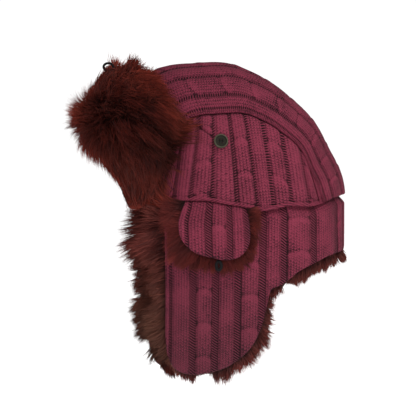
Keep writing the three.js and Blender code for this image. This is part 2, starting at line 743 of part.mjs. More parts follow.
// A closed ring of round cord, oval in the plane of its two directions
function ringGeometry(wideWay, highWay, halfWide, halfHigh) {
  const segments = 14;
  const sides = 5;
  const faceWay = wideWay.clone().cross(highWay).normalize();
  const positions = [];
  const index = [];
  for (let segment = 0; segment < segments; segment += 1) {
    const turn = (segment / segments) * Math.PI * 2;
    const middle = wideWay.clone().multiplyScalar(halfWide * Math.cos(turn));
    middle.addScaledVector(highWay, halfHigh * Math.sin(turn));
    const outWay = wideWay.clone().multiplyScalar(halfHigh * Math.cos(turn));
    outWay.addScaledVector(highWay, halfWide * Math.sin(turn)).normalize();
    for (let side = 0; side < sides; side += 1) {
      const roll = (side / sides) * Math.PI * 2;
      const point = middle.clone().addScaledVector(outWay, LOOP_CORD * Math.cos(roll));
      point.addScaledVector(faceWay, LOOP_CORD * Math.sin(roll));
      positions.push(...point.toArray());
      const nextSegment = (segment + 1) % segments;
      const nextSide = (side + 1) % sides;
      const a = segment * sides + side;
      const b = nextSegment * sides + side;
      const c = nextSegment * sides + nextSide;
      const d = segment * sides + nextSide;
      index.push(a, b, c, a, c, d);
    }
  }
  return facingOut(new Float32Array(positions), index);
}

function sideButton(side) {
  const surface = (y, z) => new THREE.Vector3(side * crownHalfWidth(y, z), y, z);
  const { y, z } = BUTTON_PLACE;
  const foot = offsetPoint(surface, y, z, 0.5, 0.5, RIB_HEIGHT + GAP, HEAD_CENTRE);
  const out = foot.clone().sub(surface(y, z)).normalize();
  const mesh = new THREE.Mesh(buttonGeometry(), buttonMaterial);
  mesh.position.copy(foot);
  mesh.quaternion.setFromUnitVectors(new THREE.Vector3(0, 0, 1), out);
  return mesh;
}

const UP = new THREE.Vector3(0, 0, 1);

function tabLoop(side) {
  const halfWide = 3.2;
  const halfHigh = 4.9;
  const below = tabLength(TAB_ARC, 0.3, 0) + GAP + LOOP_CORD + halfHigh;
  const arc = side * (TAB_ARC - 3);
  const along = hang(arc + 1, 0, 0).sub(hang(arc - 1, 0, 0)).normalize();
  const mesh = new THREE.Mesh(ringGeometry(along, UP, halfWide, halfHigh), elasticMaterial);
  mesh.position.copy(hang(arc, hemOver(arc) - below, tabInner(below) + KNIT_WALL / 2));
  return mesh;
}

function frontLoop() {
  const halfWide = 5.2;
  const halfHigh = 4.2;
  const back = new THREE.Vector3(0, 1, 0);
  const mesh = new THREE.Mesh(ringGeometry(back, UP, halfWide, halfHigh), elasticMaterial);
  const top = flapPoint(0, 1, 0);
  mesh.position.set(0, top.y - 1, top.z + 0.5 + LOOP_CORD + halfHigh + GAP);
  return mesh;
}

const hat = new THREE.Group();

function add(name, geometry, material) {
  const mesh = new THREE.Mesh(geometry, material);
  mesh.name = name;
  hat.add(mesh);
}

function place(name, mesh) {
  mesh.name = name;
  hat.add(mesh);
}

add('crown_center_panel_front', centerPanel(0, CREST_ROW), knitMaterial);
add('crown_center_panel_back', centerPanel(CREST_ROW, CENTER_ROWS), knitMaterial);
add('earflap_band', earflapBand(), knitMaterial);
add('earflap_lining_fur', earflapLining(), furMaterial);
add('front_flap', frontFlap(), knitMaterial);
add('front_flap_fur', frontFlapFur(), furMaterial);
place('front_loop', frontLoop());
for (const [name, side] of [['left', 1], ['right', -1]]) {
  add(`crown_side_panel_${name}`, sidePanel(side), knitMaterial);
  add(`ear_tab_${name}`, earTab(side), knitMaterial);
  add(`ear_tab_fur_${name}`, earTabFur(side), furMaterial);
  place(`side_button_${name}`, sideButton(side));
  place(`tab_loop_${name}`, tabLoop(side));
}

export default hat;
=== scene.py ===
# %% [markdown]
# # A cable-knit trapper hat, lined with long pile
#
# The hat is worn by nobody here, and its earflaps hang free. The frame gives the plain solid of every
# panel, in metres, with the face towards -Y. A finished piece takes the place of each. Its shape comes from
# the same curves as the solid, the knit is real relief with the stitches in the material, and the pile is
# grown strand by strand.

# %% Frame
import math
from functools import partial
import bmesh
import bpy
import numpy as np
from mathutils import Matrix, Vector


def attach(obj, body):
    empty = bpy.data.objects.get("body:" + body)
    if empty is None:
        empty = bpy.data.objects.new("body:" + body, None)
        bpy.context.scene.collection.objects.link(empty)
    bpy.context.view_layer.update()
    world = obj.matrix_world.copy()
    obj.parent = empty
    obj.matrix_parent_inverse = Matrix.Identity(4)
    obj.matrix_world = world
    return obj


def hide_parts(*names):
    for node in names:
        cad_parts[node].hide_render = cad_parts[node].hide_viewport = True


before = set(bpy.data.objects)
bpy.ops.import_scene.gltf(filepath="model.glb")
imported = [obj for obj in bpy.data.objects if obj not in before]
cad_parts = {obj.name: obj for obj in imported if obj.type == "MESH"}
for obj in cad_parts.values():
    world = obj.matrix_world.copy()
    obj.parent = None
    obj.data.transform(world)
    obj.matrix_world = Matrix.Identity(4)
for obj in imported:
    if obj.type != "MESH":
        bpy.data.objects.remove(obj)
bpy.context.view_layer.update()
MM = 0.001

# %% [markdown]
# ## Camera
#
# The photograph was taken from far away, almost level, a little in front of the wearer's left ear. A long
# lens at 3.5 m keeps the parallel look of such a product picture.

# %% Camera
AZIMUTH = math.radians(80)
ELEVATION = math.radians(0.5)
DISTANCE = 3.5
LENS, SENSOR = 288.5, 36
TARGET = Vector((0, -0.035, -0.003))
away = Vector((math.sin(AZIMUTH) * math.cos(ELEVATION), -math.cos(AZIMUTH) * math.cos(ELEVATION),
               math.sin(ELEVATION)))
camera = bpy.data.objects.new("camera", bpy.data.cameras.new("camera"))
camera.data.lens, camera.data.sensor_width = LENS, SENSOR
camera.location = TARGET + away * DISTANCE
camera.rotation_euler = (-away).to_track_quat("-Z", "Y").to_euler()
bpy.context.scene.collection.objects.link(camera)
bpy.context.scene.camera = camera
print("camera at", tuple(round(value, 3) for value in camera.location))

# %% [markdown]
# ## Curves of the hat
#
# A hat has no straight line in it, so its panels are read from short tables with smooth runs between the
# rows. They are the tables of the solids, in millimetres, which keeps every piece on its solid.

# %% Tables
HALF_WIDTH, FRONT_REACH, BACK_REACH, FULLNESS = 86, 106, 107.5, 2.3
KNIT_WALL, RIB_HEIGHT, GAP, FACET = 4, 2.4, 0.35, 1.2
CROWN_OUTLINE = [(0, 106), (13, 111), (26, 123), (38.5, 141), (47, 157), (55.3, 166.5), (72, 154.5),
                 (84.5, 147.4), (92.4, 139.8), (104, 130), (116, 121.4), (128, 116.2), (150, 108),
                 (165, 109), (180, 107.5)]
CROWN_SEAM = [(0, 0.905), (13, 0.88), (26, 0.8), (38.5, 0.72), (47, 0.685), (68, 0.647), (104, 0.655),
              (130, 0.667), (152, 0.646), (166, 0.65), (180, 0.7)]
HEM_LINE = [(-110, 3), (-84, 5), (-55, 5), (-30, 1), (-6, -3), (8, -5.7), (22, -3), (37, 0), (58, -1),
            (69, 1.4), (87, 7.7), (110, 13)]
SIDE_VALLEYS = [(11, -96), (28, -94), (44, -83), (57.6, -68), (64.9, -47), (73.8, -21), (83.4, 1),
                (94.4, 17), (109.4, 37), (128.9, 57), (147.4, 69), (168, 73)]
CENTER_VALLEYS = [0.23, 0.49, 0.78, 0.94]
BAND_VALLEYS = [10.5, 31.5, 52.3, 88.3, 122.8, 145, 170.6, 194, 218.3, 247.4]
BAND_END = 256.4
KNIT_EDGE = [(0, -47), (38, -48), (71, -52.5), (88, -59), (109, -68), (122, -78), (128, -82), (134, -84),
             (139, -86), (146, -116), (152, -134), (164, -152), (185, -167), (203, -172.5), (220, -174.5),
             (235, -172), (246, -166), (253, -152), (256.4, -116)]


def read(rows, place):
    """The value of a table at a place, with smooth runs between its rows."""
    keys, values = np.array(rows, float).T
    slopes = np.diff(values) / np.diff(keys)
    bends = np.concatenate([slopes[:1], np.zeros(len(keys) - 2), slopes[-1:]])
    before, after = slopes[:-1], slopes[1:]
    same = before * after > 0
    bends[1:-1][same] = (2 * before * after)[same] / (before + after)[same]
    place = np.clip(place, keys[0], keys[-1])
    at = np.clip(np.searchsorted(keys, place, side="right") - 1, 0, len(keys) - 2)
    span = keys[at + 1] - keys[at]
    along = (place - keys[at]) / span
    climb = values[at + 1] - values[at]
    start, end = bends[at] * span, bends[at + 1] * span
    square, cube = 3 * climb - 2 * start - end, start + end - 2 * climb
    return values[at] + along * (start + along * (square + along * cube))


def smooth(value):
    """A soft step from 0 to 1."""
    value = np.clip(value, 0, 1)
    return value * value * (3 - 2 * value)


def rise(value, start, run):
    """A soft step of a value that begins at start and takes run, which is below 0 for a fall."""
    return smooth((value - start) / run)


def hump(value, width):
    """A soft bump that is 1 where the value is 0."""
    return np.exp(-(value / width) ** 2)


print("crown is", round(float(read(CROWN_OUTLINE, 84.5)), 1), "mm high over its middle")

# %% Surfaces
def vectors(x, y, z):
    """Points from their coordinates."""
    return np.stack(np.broadcast_arrays(x, y, z), axis=-1).astype(float)


def beside(*values):
    """Arrays as the last axis of one array."""
    return np.stack(values, axis=-1)


def crown_half_width(y, z):
    """Half of the crown's width over a point of its mid-plane."""
    height = np.maximum(z, 0)
    angle = np.degrees(np.arctan2(height, -y))
    share = np.minimum(np.hypot(y, height) / read(CROWN_OUTLINE, angle), 0.999)
    return HALF_WIDTH * (1 - share ** FULLNESS) ** (1 / FULLNESS)


def center_surface(turn, angle):
    """The crown where its centre panel lies: turn is 0 in the middle, angle goes from front to back."""
    share = np.abs(np.cos(np.radians(turn))) ** (2 / FULLNESS)
    across = np.abs(np.sin(np.radians(turn))) ** (2 / FULLNESS)
    reach = read(CROWN_OUTLINE, angle) * share
    return vectors(np.sign(turn) * HALF_WIDTH * across, -reach * np.cos(np.radians(angle)),
                   reach * np.sin(np.radians(angle)))


def off(surface, a, b, step_a, step_b, distance, centre):
    """Points of a surface, moved along its normal, which points away from the centre."""
    point = surface(a, b)
    along_a = surface(a + step_a, b) - surface(a - step_a, b)
    along_b = surface(a, b + step_b) - surface(a, b - step_b)
    normal = np.cross(along_a, along_b)
    normal /= np.linalg.norm(normal, axis=-1, keepdims=True) + 1e-9
    outward = np.sum(normal * (point - centre), axis=-1, keepdims=True)
    return point + np.where(outward < 0, -normal, normal) * np.asarray(distance)[..., None]


HEAD_CENTRE = np.array([0, 0, 20.0])
NEAR = 0.5


def crown_strip(turn, angle, distance):
    """Points off the crown where its centre panel lies."""
    return off(center_surface, turn, angle, NEAR, NEAR, distance, HEAD_CENTRE)


def crown_side(side, y, z, distance):
    """Points off one side of the crown, over points of its mid-plane."""
    def surface(p, q):
        return vectors(side * crown_half_width(p, q), p, q)

    return off(surface, y, z, NEAR, NEAR, distance, HEAD_CENTRE)


def seam_turn(angle):
    """How far round the crown its seam runs."""
    return np.degrees(np.arccos(read(CROWN_SEAM, angle) ** (FULLNESS / 2)))


def hem_angle(share_of, start, direction):
    """The angle where a line at a share of the crown's radius comes down to the hem."""
    angle = start
    for _ in range(12):
        reach = read(CROWN_OUTLINE, angle) * share_of(angle)
        hem = read(HEM_LINE, -reach * np.cos(np.radians(angle)))
        angle = start + direction * np.degrees(np.arcsin(hem / reach))
    return angle


# %% The band's plan
turns = np.linspace(0, math.pi, 721)
plan_y = np.sign(np.cos(turns)) * np.abs(np.cos(turns)) ** (2 / FULLNESS)
plan_y *= np.where(plan_y < 0, FRONT_REACH, BACK_REACH)
plan_x = HALF_WIDTH * np.sin(turns) ** (2 / FULLNESS)
plan_arc = np.concatenate([[0], np.cumsum(np.hypot(np.diff(plan_x), np.diff(plan_y)))])
FLAP_TILT, FLAP_LENGTH = 15, 175
BAND_TUCK, BAND_REST = 6, 1.2
BAND_INSET = KNIT_WALL + GAP + FACET


def hang_surface(arc, z):
    """The surface that the band and everything hung over it follow. Arcs start at the centre back."""
    drop = np.minimum(np.maximum(-z, 0) / FLAP_LENGTH, 1.2)
    fullness = FULLNESS + 0.8 * smooth(np.minimum(drop * 1.6, 1))
    half_width = HALF_WIDTH - FLAP_TILT * drop ** 1.3
    y = np.interp(np.abs(arc), plan_arc, plan_y)
    share = np.minimum(np.abs(y) / np.where(y < 0, FRONT_REACH, BACK_REACH), 1)
    bent = half_width * (1 - share ** fullness) ** (1 / fullness)
    straight = np.interp(np.abs(arc), plan_arc, plan_x) * (half_width / HALF_WIDTH)
    nape = rise(np.abs(arc), 60, -40)
    return vectors(np.sign(arc) * (bent + (straight - bent) * nape), y, z)


def hang(arc, z, distance):
    """A point off that surface."""
    arc, z, distance = np.broadcast_arrays(np.asarray(arc, float), np.asarray(z, float), distance)
    return off(hang_surface, arc, z, 1, 1, distance, vectors(0, 0, z))


def hem_over(arc):
    """Height of the crown's hem over a place of the band."""
    return read(HEM_LINE, np.interp(np.abs(arc), plan_arc, plan_y))


def below_hem(side, arc, below, distance):
    """A point at a depth below the hem, on one side of the head."""
    return hang(side * arc, hem_over(arc) - below, distance)


def band_bulge(below):
    """How far the band has come out from under the hem, from 0 to 1."""
    return smooth(below / 10)


def band_inset(below):
    """How far inside the crown's surface the band's outer face runs."""
    return BAND_INSET + (BAND_REST - BAND_INSET) * band_bulge(below)


print("band is", round(float(plan_arc[-1]), 1), "mm from centre back to centre front")

# %% [markdown]
# ## Ribs, ladders and cables
#
# The knit is made of plain ribs and twisted ribs, 14 to 29 mm wide. Ladders of turned stitches run between
# them, 3 mm wide on the crown and 7 mm wide below it. A bump map can't shade such deep ribs from the side,
# so ribs, ladders and crossings are real relief. A crossing is two strands that change places every 34.5 mm:
# one goes over and swells, the other dives under it.

# %% Relief
CABLE_PERIOD, CROSSING_HALF = 34.5, 5
DOME_POWER, STRAND_SHARE, STRAND_HEIGHT, SWELL = 2.7, 0.62, 0.9, 0.35
CROWN_LADDER, BAND_LADDER, TAB_LADDER, FLAP_LADDER = 2.6, 7.2, 6.4, 7
RUNG_PITCH, BEAD_PITCH = 2.5, 3.1


def rib_dome(side):
    """A rib's section, where side goes from -1 to 1 between its edges."""
    return np.sqrt(np.clip(1 - np.abs(side) ** DOME_POWER, 0, 1))


def strand(side):
    """A strand's section, where side is the place off its middle."""
    return np.sqrt(np.clip(1 - (side / STRAND_SHARE) ** 2, 0, 1))


def cable(side, along):
    """A twisted rib's height, and its painted highlight and shade. A crossing lies at every whole period."""
    near = (np.mod(along / CABLE_PERIOD + 0.5, 1) - 0.5) * CABLE_PERIOD
    close = hump(near, 5.5)
    side = side * (1 + 0.05 * close)
    middle = 0.5 * (2 * smooth((near + CROSSING_HALF) / (2 * CROSSING_HALF)) - 1)
    over = strand(side - middle) * (STRAND_HEIGHT + SWELL * close)
    under = strand(side + middle) * (STRAND_HEIGHT - SWELL * close)
    blend = 0.06 + 0.32 * hump(near, 7)
    # A painted highlight on the arch of each crossing and painted shade next to it; it also lifts the relief
    # a little.
    arch = near - 2.5 * side ** 2
    painted_arch_light = 0.7 * hump(arch - 2.6, 3.6) - 0.7 * hump(arch + 1.8, 1.3)
    return rib_dome(side) * (1 - blend + 0.07 * painted_arch_light) + np.maximum(over, under) * blend, painted_arch_light


def ribbing(place, along, edges, twisted, ladder, phases=None):
    """Relief at places across ribs between edges, the ladders' mask and the crossings' painted light."""
    edges = np.asarray(edges, float)
    cell = np.clip(np.searchsorted(edges, place, side="right") - 1, 0, len(edges) - 2)
    width = edges[cell + 1] - edges[cell]
    inside = place - edges[cell]
    floor = np.minimum(ladder, 0.36 * width)
    side = np.clip(2 * (inside - floor) / (width - floor) - 1, -1, 1)
    phase = np.zeros(len(edges)) if phases is None else np.asarray(phases, float)
    is_cable = np.asarray(twisted)[cell]
    twist, painted_arch_light = cable(side, along - phase[cell])
    rib = np.where(is_cable, twist, rib_dome(side))
    painted_arch_light = np.where(is_cable & (inside > floor), painted_arch_light, 0)
    in_ladder = np.clip(1 - np.abs(inside - floor / 2) / (floor / 2), 0, 1)
    mask = smooth(np.where(inside < floor, 1, 0) * in_ladder * 4)
    step = 0.24 + 0.14 * inside / np.maximum(floor, 0.01)
    rung = 0.04 * np.sin(2 * math.pi * along / RUNG_PITCH)
    low = np.where(inside < floor, (step + rung) * smooth(inside / 1.5), 0)
    return np.maximum(rib, low), mask, 0.5 + 0.5 * painted_arch_light


# %% [markdown]
# ## Knit walls
#
# Knitted cloth is thick and rolls over at its edges. A Solidify modifier would leave a square edge, so every
# wall is a fine outer grid that sinks at its edges and a coarse inner grid, joined all round.

# %% Knit walls
COARSE = 6
EDGE_LINES, EVEN_FROM = np.array([0, 0.35, 0.9, 1.7]), 2.6
ROLL_WIDTH, ROLL_DEPTH = 2.2, 2
PLAIN_SHADES = (0, 0.4, 0.5)


def spread(count, length):
    """Places of grid lines along a length: close together at both ends, even between them."""
    inner = np.linspace(EVEN_FROM, length - EVEN_FROM, count + 1 - 2 * len(EDGE_LINES))
    return np.concatenate([EDGE_LINES, inner, length - EDGE_LINES[::-1]]) / length


def grid(bm, columns, rows):
    """A grid in bm, and the place of each of its vertices as column and row numbers."""
    made = bmesh.ops.create_grid(bm, x_segments=columns, y_segments=rows, size=1)["verts"]
    flat = np.array([vertex.co[:2] for vertex in made])
    low, high = flat.min(axis=0), flat.max(axis=0)
    numbers = np.rint((flat - low) / (high - low) * (columns, rows)).astype(int)
    return made, numbers[:, 0], numbers[:, 1]


def move(vertices, points):
    """Puts vertices at points that are given in millimetres."""
    for vertex, point in zip(vertices, (points * MM).tolist()):
        vertex.co = point


def placed(name, mesh):
    """An object of a mesh, on the hat's one body."""
    piece = bpy.data.objects.new(name, mesh)
    bpy.context.scene.collection.objects.link(piece)
    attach(piece, "root")
    return piece


def shade(mesh, tones):
    """Gives each vertex of a mesh the four numbers that its material reads."""
    layer = mesh.color_attributes.new("shades", "FLOAT_COLOR", "POINT")
    layer.data.foreach_set("color", tones.ravel())


def finished(name, bm, shades=None, yarn=None):
    """An object from bm, with its stitch map and its shades where it has them."""
    mesh = bpy.data.meshes.new(name)
    bm.to_mesh(mesh)
    bm.free()
    mesh.polygons.foreach_set("use_smooth", np.ones(len(mesh.polygons), bool))
    if shades is not None:
        full = np.ones((len(mesh.vertices), 4), np.float32)
        full[:, :3] = PLAIN_SHADES
        full[:len(shades), :3] = shades
        shade(mesh, full)
    if yarn is not None:
        corners = np.empty(len(mesh.loops), int)
        mesh.loops.foreach_get("vertex_index", corners)
        full = np.zeros((len(mesh.vertices), 2), np.float32)
        full[:len(yarn)] = yarn * MM
        mesh.uv_layers.new(name="yarn").data.foreach_set("uv", full[corners].ravel())
    return placed(name, mesh)


def close_up(bm):
    """Joins the two open faces in bm round their edges."""
    bmesh.ops.bridge_loops(bm, edges=[edge for edge in bm.edges if edge.is_boundary])
    bmesh.ops.recalc_face_normals(bm, faces=bm.faces)


def knit_wall(name, columns, rows, size, outer, inner):
    """A closed knit wall: a fine face with its stitches, a plain inner face, and a rolled edge between them.

    outer(a, b, roll) gives points, shades and stitch places, and inner(a, b) gives points. Both a and b run
    from 0 to 1.
    """
    bm = bmesh.new()
    face, column, row = grid(bm, columns * COARSE, rows * COARSE)
    across, down = spread(columns * COARSE, size[0]), spread(rows * COARSE, size[1])
    a, b = across[column], down[row]
    from_edge = np.minimum(np.minimum(a, 1 - a) * size[0], np.minimum(b, 1 - b) * size[1])
    roll = 1 - np.sqrt(1 - (1 - np.clip(from_edge / ROLL_WIDTH, 0, 1)) ** 2)
    points, shades, yarn = outer(a, b, roll)
    move(face, points)
    back, column, row = grid(bm, columns, rows)
    a, b = across[column * COARSE], down[row * COARSE]
    move(back, inner(a, b))
    close_up(bm)
    piece = finished(name, bm, shades, np.concatenate([yarn, beside(a * size[0], b * size[1])]))
    print(name, len(piece.data.polygons), "faces")
    return piece


# %% [markdown]
# ## Crown
#
# Three panels: a wide strip from the forehead over the top to the nape, whose ribs run lengthwise, and a
# panel over each ear whose ribs run down from the strip. The points of a sphere would crowd at its poles. A
# grid keeps about a line of points for each millimetre of knit, so the panels start as grids.

# %% Crown centre strip
CENTER_ROWS, CENTER_COLUMNS = 62, 26
CENTER_SIZE = (168, 420)


def center_place(a, b):
    """Share of the way to the seam, angle from front to back and turn off the middle, at a place."""
    share = 2 * a - 1

    def share_of(angle):
        return np.cos(np.radians(share * seam_turn(angle))) ** (2 / FULLNESS)

    front, back = hem_angle(share_of, 0 * a, 1), hem_angle(share_of, 180 + 0 * a, -1)
    angle = front + (back - front) * b
    return share, angle, share * seam_turn(angle)


STRIP_HALF = 84
STRIP_CABLES, STRIP_PHASES = [True, False, True, False, False], [0, 0, 9, 0, 0]


def center_outer(a, b, roll):
    share, angle, turn = center_place(a, b)
    along = b * CENTER_SIZE[1]
    widths = np.array(CENTER_VALLEYS + [1]) * STRIP_HALF
    edges = np.append(-widths[0], widths)
    height, mask, painted_light = ribbing(np.abs(share) * STRIP_HALF, along, edges, STRIP_CABLES, CROWN_LADDER,
                                     STRIP_PHASES)
    edge = 0.957 + 0.006 * np.sin(along / 7) + 0.004 * np.sin(along / 3.3)
    welt = (0.7 + 0.18 * np.sin(2 * math.pi * along / BEAD_PITCH + np.sin(along / 13)))
    welt = welt * rib_dome((np.abs(share) - (1 + edge) / 2) / ((1 - edge) / 2))
    height = np.where(np.abs(share) > edge, welt, height)
    points = crown_strip(turn, angle, RIB_HEIGHT * height - ROLL_DEPTH * roll)
    return points, beside(mask, height, painted_light), beside(share * STRIP_HALF, along)


def center_inner(a, b):
    _, angle, turn = center_place(a, b)
    return crown_strip(turn, angle, -KNIT_WALL)


crown_center = knit_wall("crown_center_knit", CENTER_COLUMNS, CENTER_ROWS, CENTER_SIZE, center_outer,
                         center_inner)
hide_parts("crown_center_panel_front", "crown_center_panel_back")

# %% [markdown]
# ## Side panels
#
# The ribs of a side panel start at the seam beside the strip, narrow on their way down and end in the hem's
# welt. Ribs on a plain grid would be cut off by the seam, so the columns of this grid follow the valleys
# that were measured in the photograph.

# %% Crown side panels
SIDE_SIZE = (170, 96)
SIDE_PITCH = 16.5
SIDE_COLUMNS, SIDE_ROWS = 33, 16
SIDE_CABLES = [index % 2 == 1 for index in range(len(SIDE_VALLEYS) - 1)]
SIDE_PHASES = [12 + 7 * (index % 3) for index in range(len(SIDE_VALLEYS))]
SEAM_ALLOWANCE = 5
CREASE_START, CREASE_END = np.array([-69.0, 88.0]), np.array([-44.8, 71.4])


def side_place(a, b):
    """Rib number, point of the mid-plane, way down the rib and the rib's length, at a place of a panel."""
    number = a * (len(SIDE_VALLEYS) - 1)
    angle, foot = (np.interp(number, range(len(SIDE_VALLEYS)), row) for row in zip(*SIDE_VALLEYS))
    reach = read(CROWN_OUTLINE, angle) * read(CROWN_SEAM, angle) - FACET
    top_y, top_z = -reach * np.cos(np.radians(angle)), reach * np.sin(np.radians(angle))
    y = top_y + (foot - top_y) * b
    z = top_z + (read(HEM_LINE, foot) - top_z) * b
    drop = np.hypot(foot - top_y, read(HEM_LINE, foot) - top_z)
    return number, y, z, drop * b, drop


def crease_depth(y, z):
    """Depth of the fold that runs from the front corner of a side panel towards its button."""
    crease = CREASE_END - CREASE_START
    from_y, from_z = y - CREASE_START[0], z - CREASE_START[1]
    run = (from_y * crease[0] + from_z * crease[1]) / (crease @ crease)
    off_line = (from_y * crease[1] - from_z * crease[0]) / np.hypot(*crease)
    fold = rise(run, -0.1, 0.1) * rise(run, 1.1, -0.1)
    return fold * (0.75 * hump(off_line, 1.2) - 0.15 * hump(off_line - 4, 3))


def side_outer(side, a, b, roll):
    number, y, z, along, drop = side_place(a, b)
    edges = np.arange(len(SIDE_VALLEYS)) * SIDE_PITCH
    place = number * SIDE_PITCH
    height, mask, painted_light = ribbing(place, along, edges, SIDE_CABLES, CROWN_LADDER, SIDE_PHASES)
    left = drop - along + 0.6 * np.sin(number * 7) + 0.4 * np.sin(number * 17)
    lip = rise(left, 4.2, -1.0)
    groove = hump(left - 4.9, 0.8)
    beads = 0.12 * np.sin(2 * math.pi * number * SIDE_PITCH / BEAD_PITCH)
    height = height * (1 - 0.6 * lip) + (0.5 + beads) * lip - 0.5 * groove
    height = (height - crease_depth(y, z)) * (1 - 0.4 * hump(along, 1.8))
    points = crown_side(side, y, z, RIB_HEIGHT * height - ROLL_DEPTH * roll)
    # The lip is painted lighter than the ribs, a painted highlight.
    shades = beside(np.maximum(mask * (1 - lip), 0.5 * lip), np.clip(height, 0, 1), painted_light + 0.35 * lip)
    return points, shades, beside(place, along)


def side_inner(side, a, b):
    """The inner face, whose edge is turned in under the strip."""
    _, y, z, _, _ = side_place(a, b)
    turned = smooth(1 - np.minimum(b * SIDE_ROWS, np.minimum(a, 1 - a) * SIDE_COLUMNS))
    further = 1 + SEAM_ALLOWANCE * turned / np.hypot(y, z)
    return crown_side(side, y * further, z * further, -KNIT_WALL - 1.0 * turned)


SIDES = (("left", 1), ("right", -1))
crown_sides = []
for label, side in SIDES:
    panel = knit_wall("crown_side_knit_" + label, SIDE_COLUMNS, SIDE_ROWS, SIDE_SIZE,
                      partial(side_outer, side), partial(side_inner, side))
    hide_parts("crown_side_panel_" + label)
    crown_sides.append(panel)

# %% [markdown]
# ## Band and earflaps
#
# One long knitted piece runs round the head behind the crown's hem and drops into both earflaps. Its columns
# follow the ribs, and its rows go from inside the crown down to the lower edge, wherever that is.

# %% Band
BAND_SIZE = (2 * BAND_END, 150)
BAND_COLUMNS, BAND_ROWS = 84, 23
HALF_EDGES = [-BAND_VALLEYS[0]] + BAND_VALLEYS + [BAND_END]
BAND_CABLES = [True, False, True, False, True, False, True, False, True, False, False]
BAND_PHASES = [10, 0, 16, 0, 47, 0, 57, 0, 86, 0, 0]


def band_place(a, b):
    """Arc, height of the hem, height and height of the lower edge, at a place of the band."""
    arc = (2 * a - 1) * BAND_END
    hem = hem_over(arc)
    top, low = hem + BAND_TUCK, read(KNIT_EDGE, np.abs(arc))
    return arc, hem, top + (low - top) * b, low


def band_outer(a, b, roll):
    arc, hem, z, low = band_place(a, b)
    height, mask, painted_light = ribbing(np.abs(arc), -z, HALF_EDGES, BAND_CABLES, BAND_LADDER, BAND_PHASES)
    height = height * (1 - 0.35 * hump(z - low, 3.2))
    below = hem - z
    relief = RIB_HEIGHT * height * band_bulge(below) - band_inset(below) - ROLL_DEPTH * roll
    return hang(arc, z, relief), beside(mask, height, painted_light), beside(arc, -z)


def band_inner(a, b):
    arc, hem, z, _ = band_place(a, b)
    return hang(arc, z, -band_inset(hem - z) - KNIT_WALL)


band = knit_wall("earflap_band_knit", BAND_COLUMNS, BAND_ROWS, BAND_SIZE, band_outer, band_inner)
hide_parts("earflap_band")

# %% [markdown]
# ## Ear tabs
#
# A round-ended tab hangs from the hem over each earflap, lined with fur that shows round it. It is one more
# knit wall. It stands off the band by the depth of that fur, so it is bent out from the hem downwards.

# %% Ear tabs
TAB_ARC, TAB_HALF, TAB_STRAIGHT, TAB_ROUND, TAB_STAND = 198.2, 34, 22, 35, 10.4
TAB_CORNER, TAB_ROOM = 2.4, 0.3
TAB_VALLEYS = [TAB_ARC - TAB_HALF, 181.4, 201, 223, TAB_ARC + TAB_HALF]
TAB_CABLES, TAB_PHASES = [False, True, False, True], [0, 22, 0, 40]


def tab_inner_off(below):
    """How far the tab's inner face stands off the crown's surface at a depth below the hem."""
    return -KNIT_WALL + 0.1 + (TAB_STAND + KNIT_WALL) * smooth(below / 25)


def tab_length(arc):
    """Length of the tab at an arc."""
    across = np.minimum(np.abs(arc - TAB_ARC) / (TAB_HALF + TAB_ROOM), 1)
    return TAB_STRAIGHT + TAB_ROUND * (1 - across ** TAB_CORNER) ** (1 / TAB_CORNER)


def tab_place(a, b):
    """Arc, length of the tab there and depth below the hem, at a place of a tab."""
    arc = TAB_ARC + TAB_HALF * (2 * a - 1)
    length = tab_length(arc)
    return arc, length, GAP + (length - GAP) * b


def tab_outer(side, a, b, roll):
    arc, length, below = tab_place(a, b)
    height, mask, painted_light = ribbing(arc, below, TAB_VALLEYS, TAB_CABLES, TAB_LADDER, TAB_PHASES)
    height = height * (1 - 0.4 * hump(length - below, 2.5))
    relief = RIB_HEIGHT * height * np.minimum(below / 6, 1) - ROLL_DEPTH * roll
    points = below_hem(side, arc, below, tab_inner_off(below) + KNIT_WALL + relief)
    return points, beside(mask, height, painted_light), beside(arc, below)


def tab_inner(side, a, b):
    arc, _, below = tab_place(a, b)
    return below_hem(side, arc, below, tab_inner_off(below))


tabs = []
for label, side in SIDES:
    tab = knit_wall("ear_tab_knit_" + label, 14, 11, (2 * TAB_HALF, TAB_STRAIGHT + TAB_ROUND),
                    partial(tab_outer, side), partial(tab_inner, side))
    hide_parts("ear_tab_" + label)
    tabs.append(tab)

# %% [markdown]
# ## Front flap
#
# The flap is sewn to the front hem and turned up, so its knit side lies against the crown and only its fur
# shows. Its middle leans away from the forehead and its ends follow the crown's sides.

# %% Front flap
FLAP_MIDDLE_Y = [(0, -111.6), (0.3, -127), (0.6, -149), (0.8, -151), (1, -139.5)]
FLAP_MIDDLE_Z = [(0, 3.5), (0.3, 38), (0.6, 80), (0.8, 108), (1, 138.5)]
FLAP_END_Y = [(0, -101), (0.3, -92), (0.6, -82), (1, -71)]
FLAP_END_Z = [(0, 6), (0.3, 28), (0.6, 52), (1, 76)]
FLAP_CLEARANCE = RIB_HEIGHT + KNIT_WALL / 2 + GAP
FLAP_CENTRE = np.array([0, -60, 60.0])
FLAP_SIZE, FLAP_RIB = (260, 140), 24.0
PAST_UNIT = 100


def flap_end(up, back=0):
    """A point over the crown's side at one end of the flap."""
    return crown_side(1, read(FLAP_END_Y, up) + back, read(FLAP_END_Z, up), FLAP_CLEARANCE)


def flap_surface(across, up):
    """The flap's middle surface: across goes from -1 to 1, up from its base to its top edge."""
    turn = np.minimum(np.abs(across), 1) * (math.pi / 2)
    end = flap_end(up)
    lobe = 9 * up * np.sin(2 * turn) ** 2
    middle_y, middle_z = read(FLAP_MIDDLE_Y, up), read(FLAP_MIDDLE_Z, up)
    return vectors(np.sign(across) * end[..., 0] * np.sin(turn),
                   end[..., 1] + (middle_y - end[..., 1]) * np.cos(turn),
                   end[..., 2] + (middle_z - end[..., 2]) * np.maximum(np.cos(turn), 0) ** 0.6 + lobe)


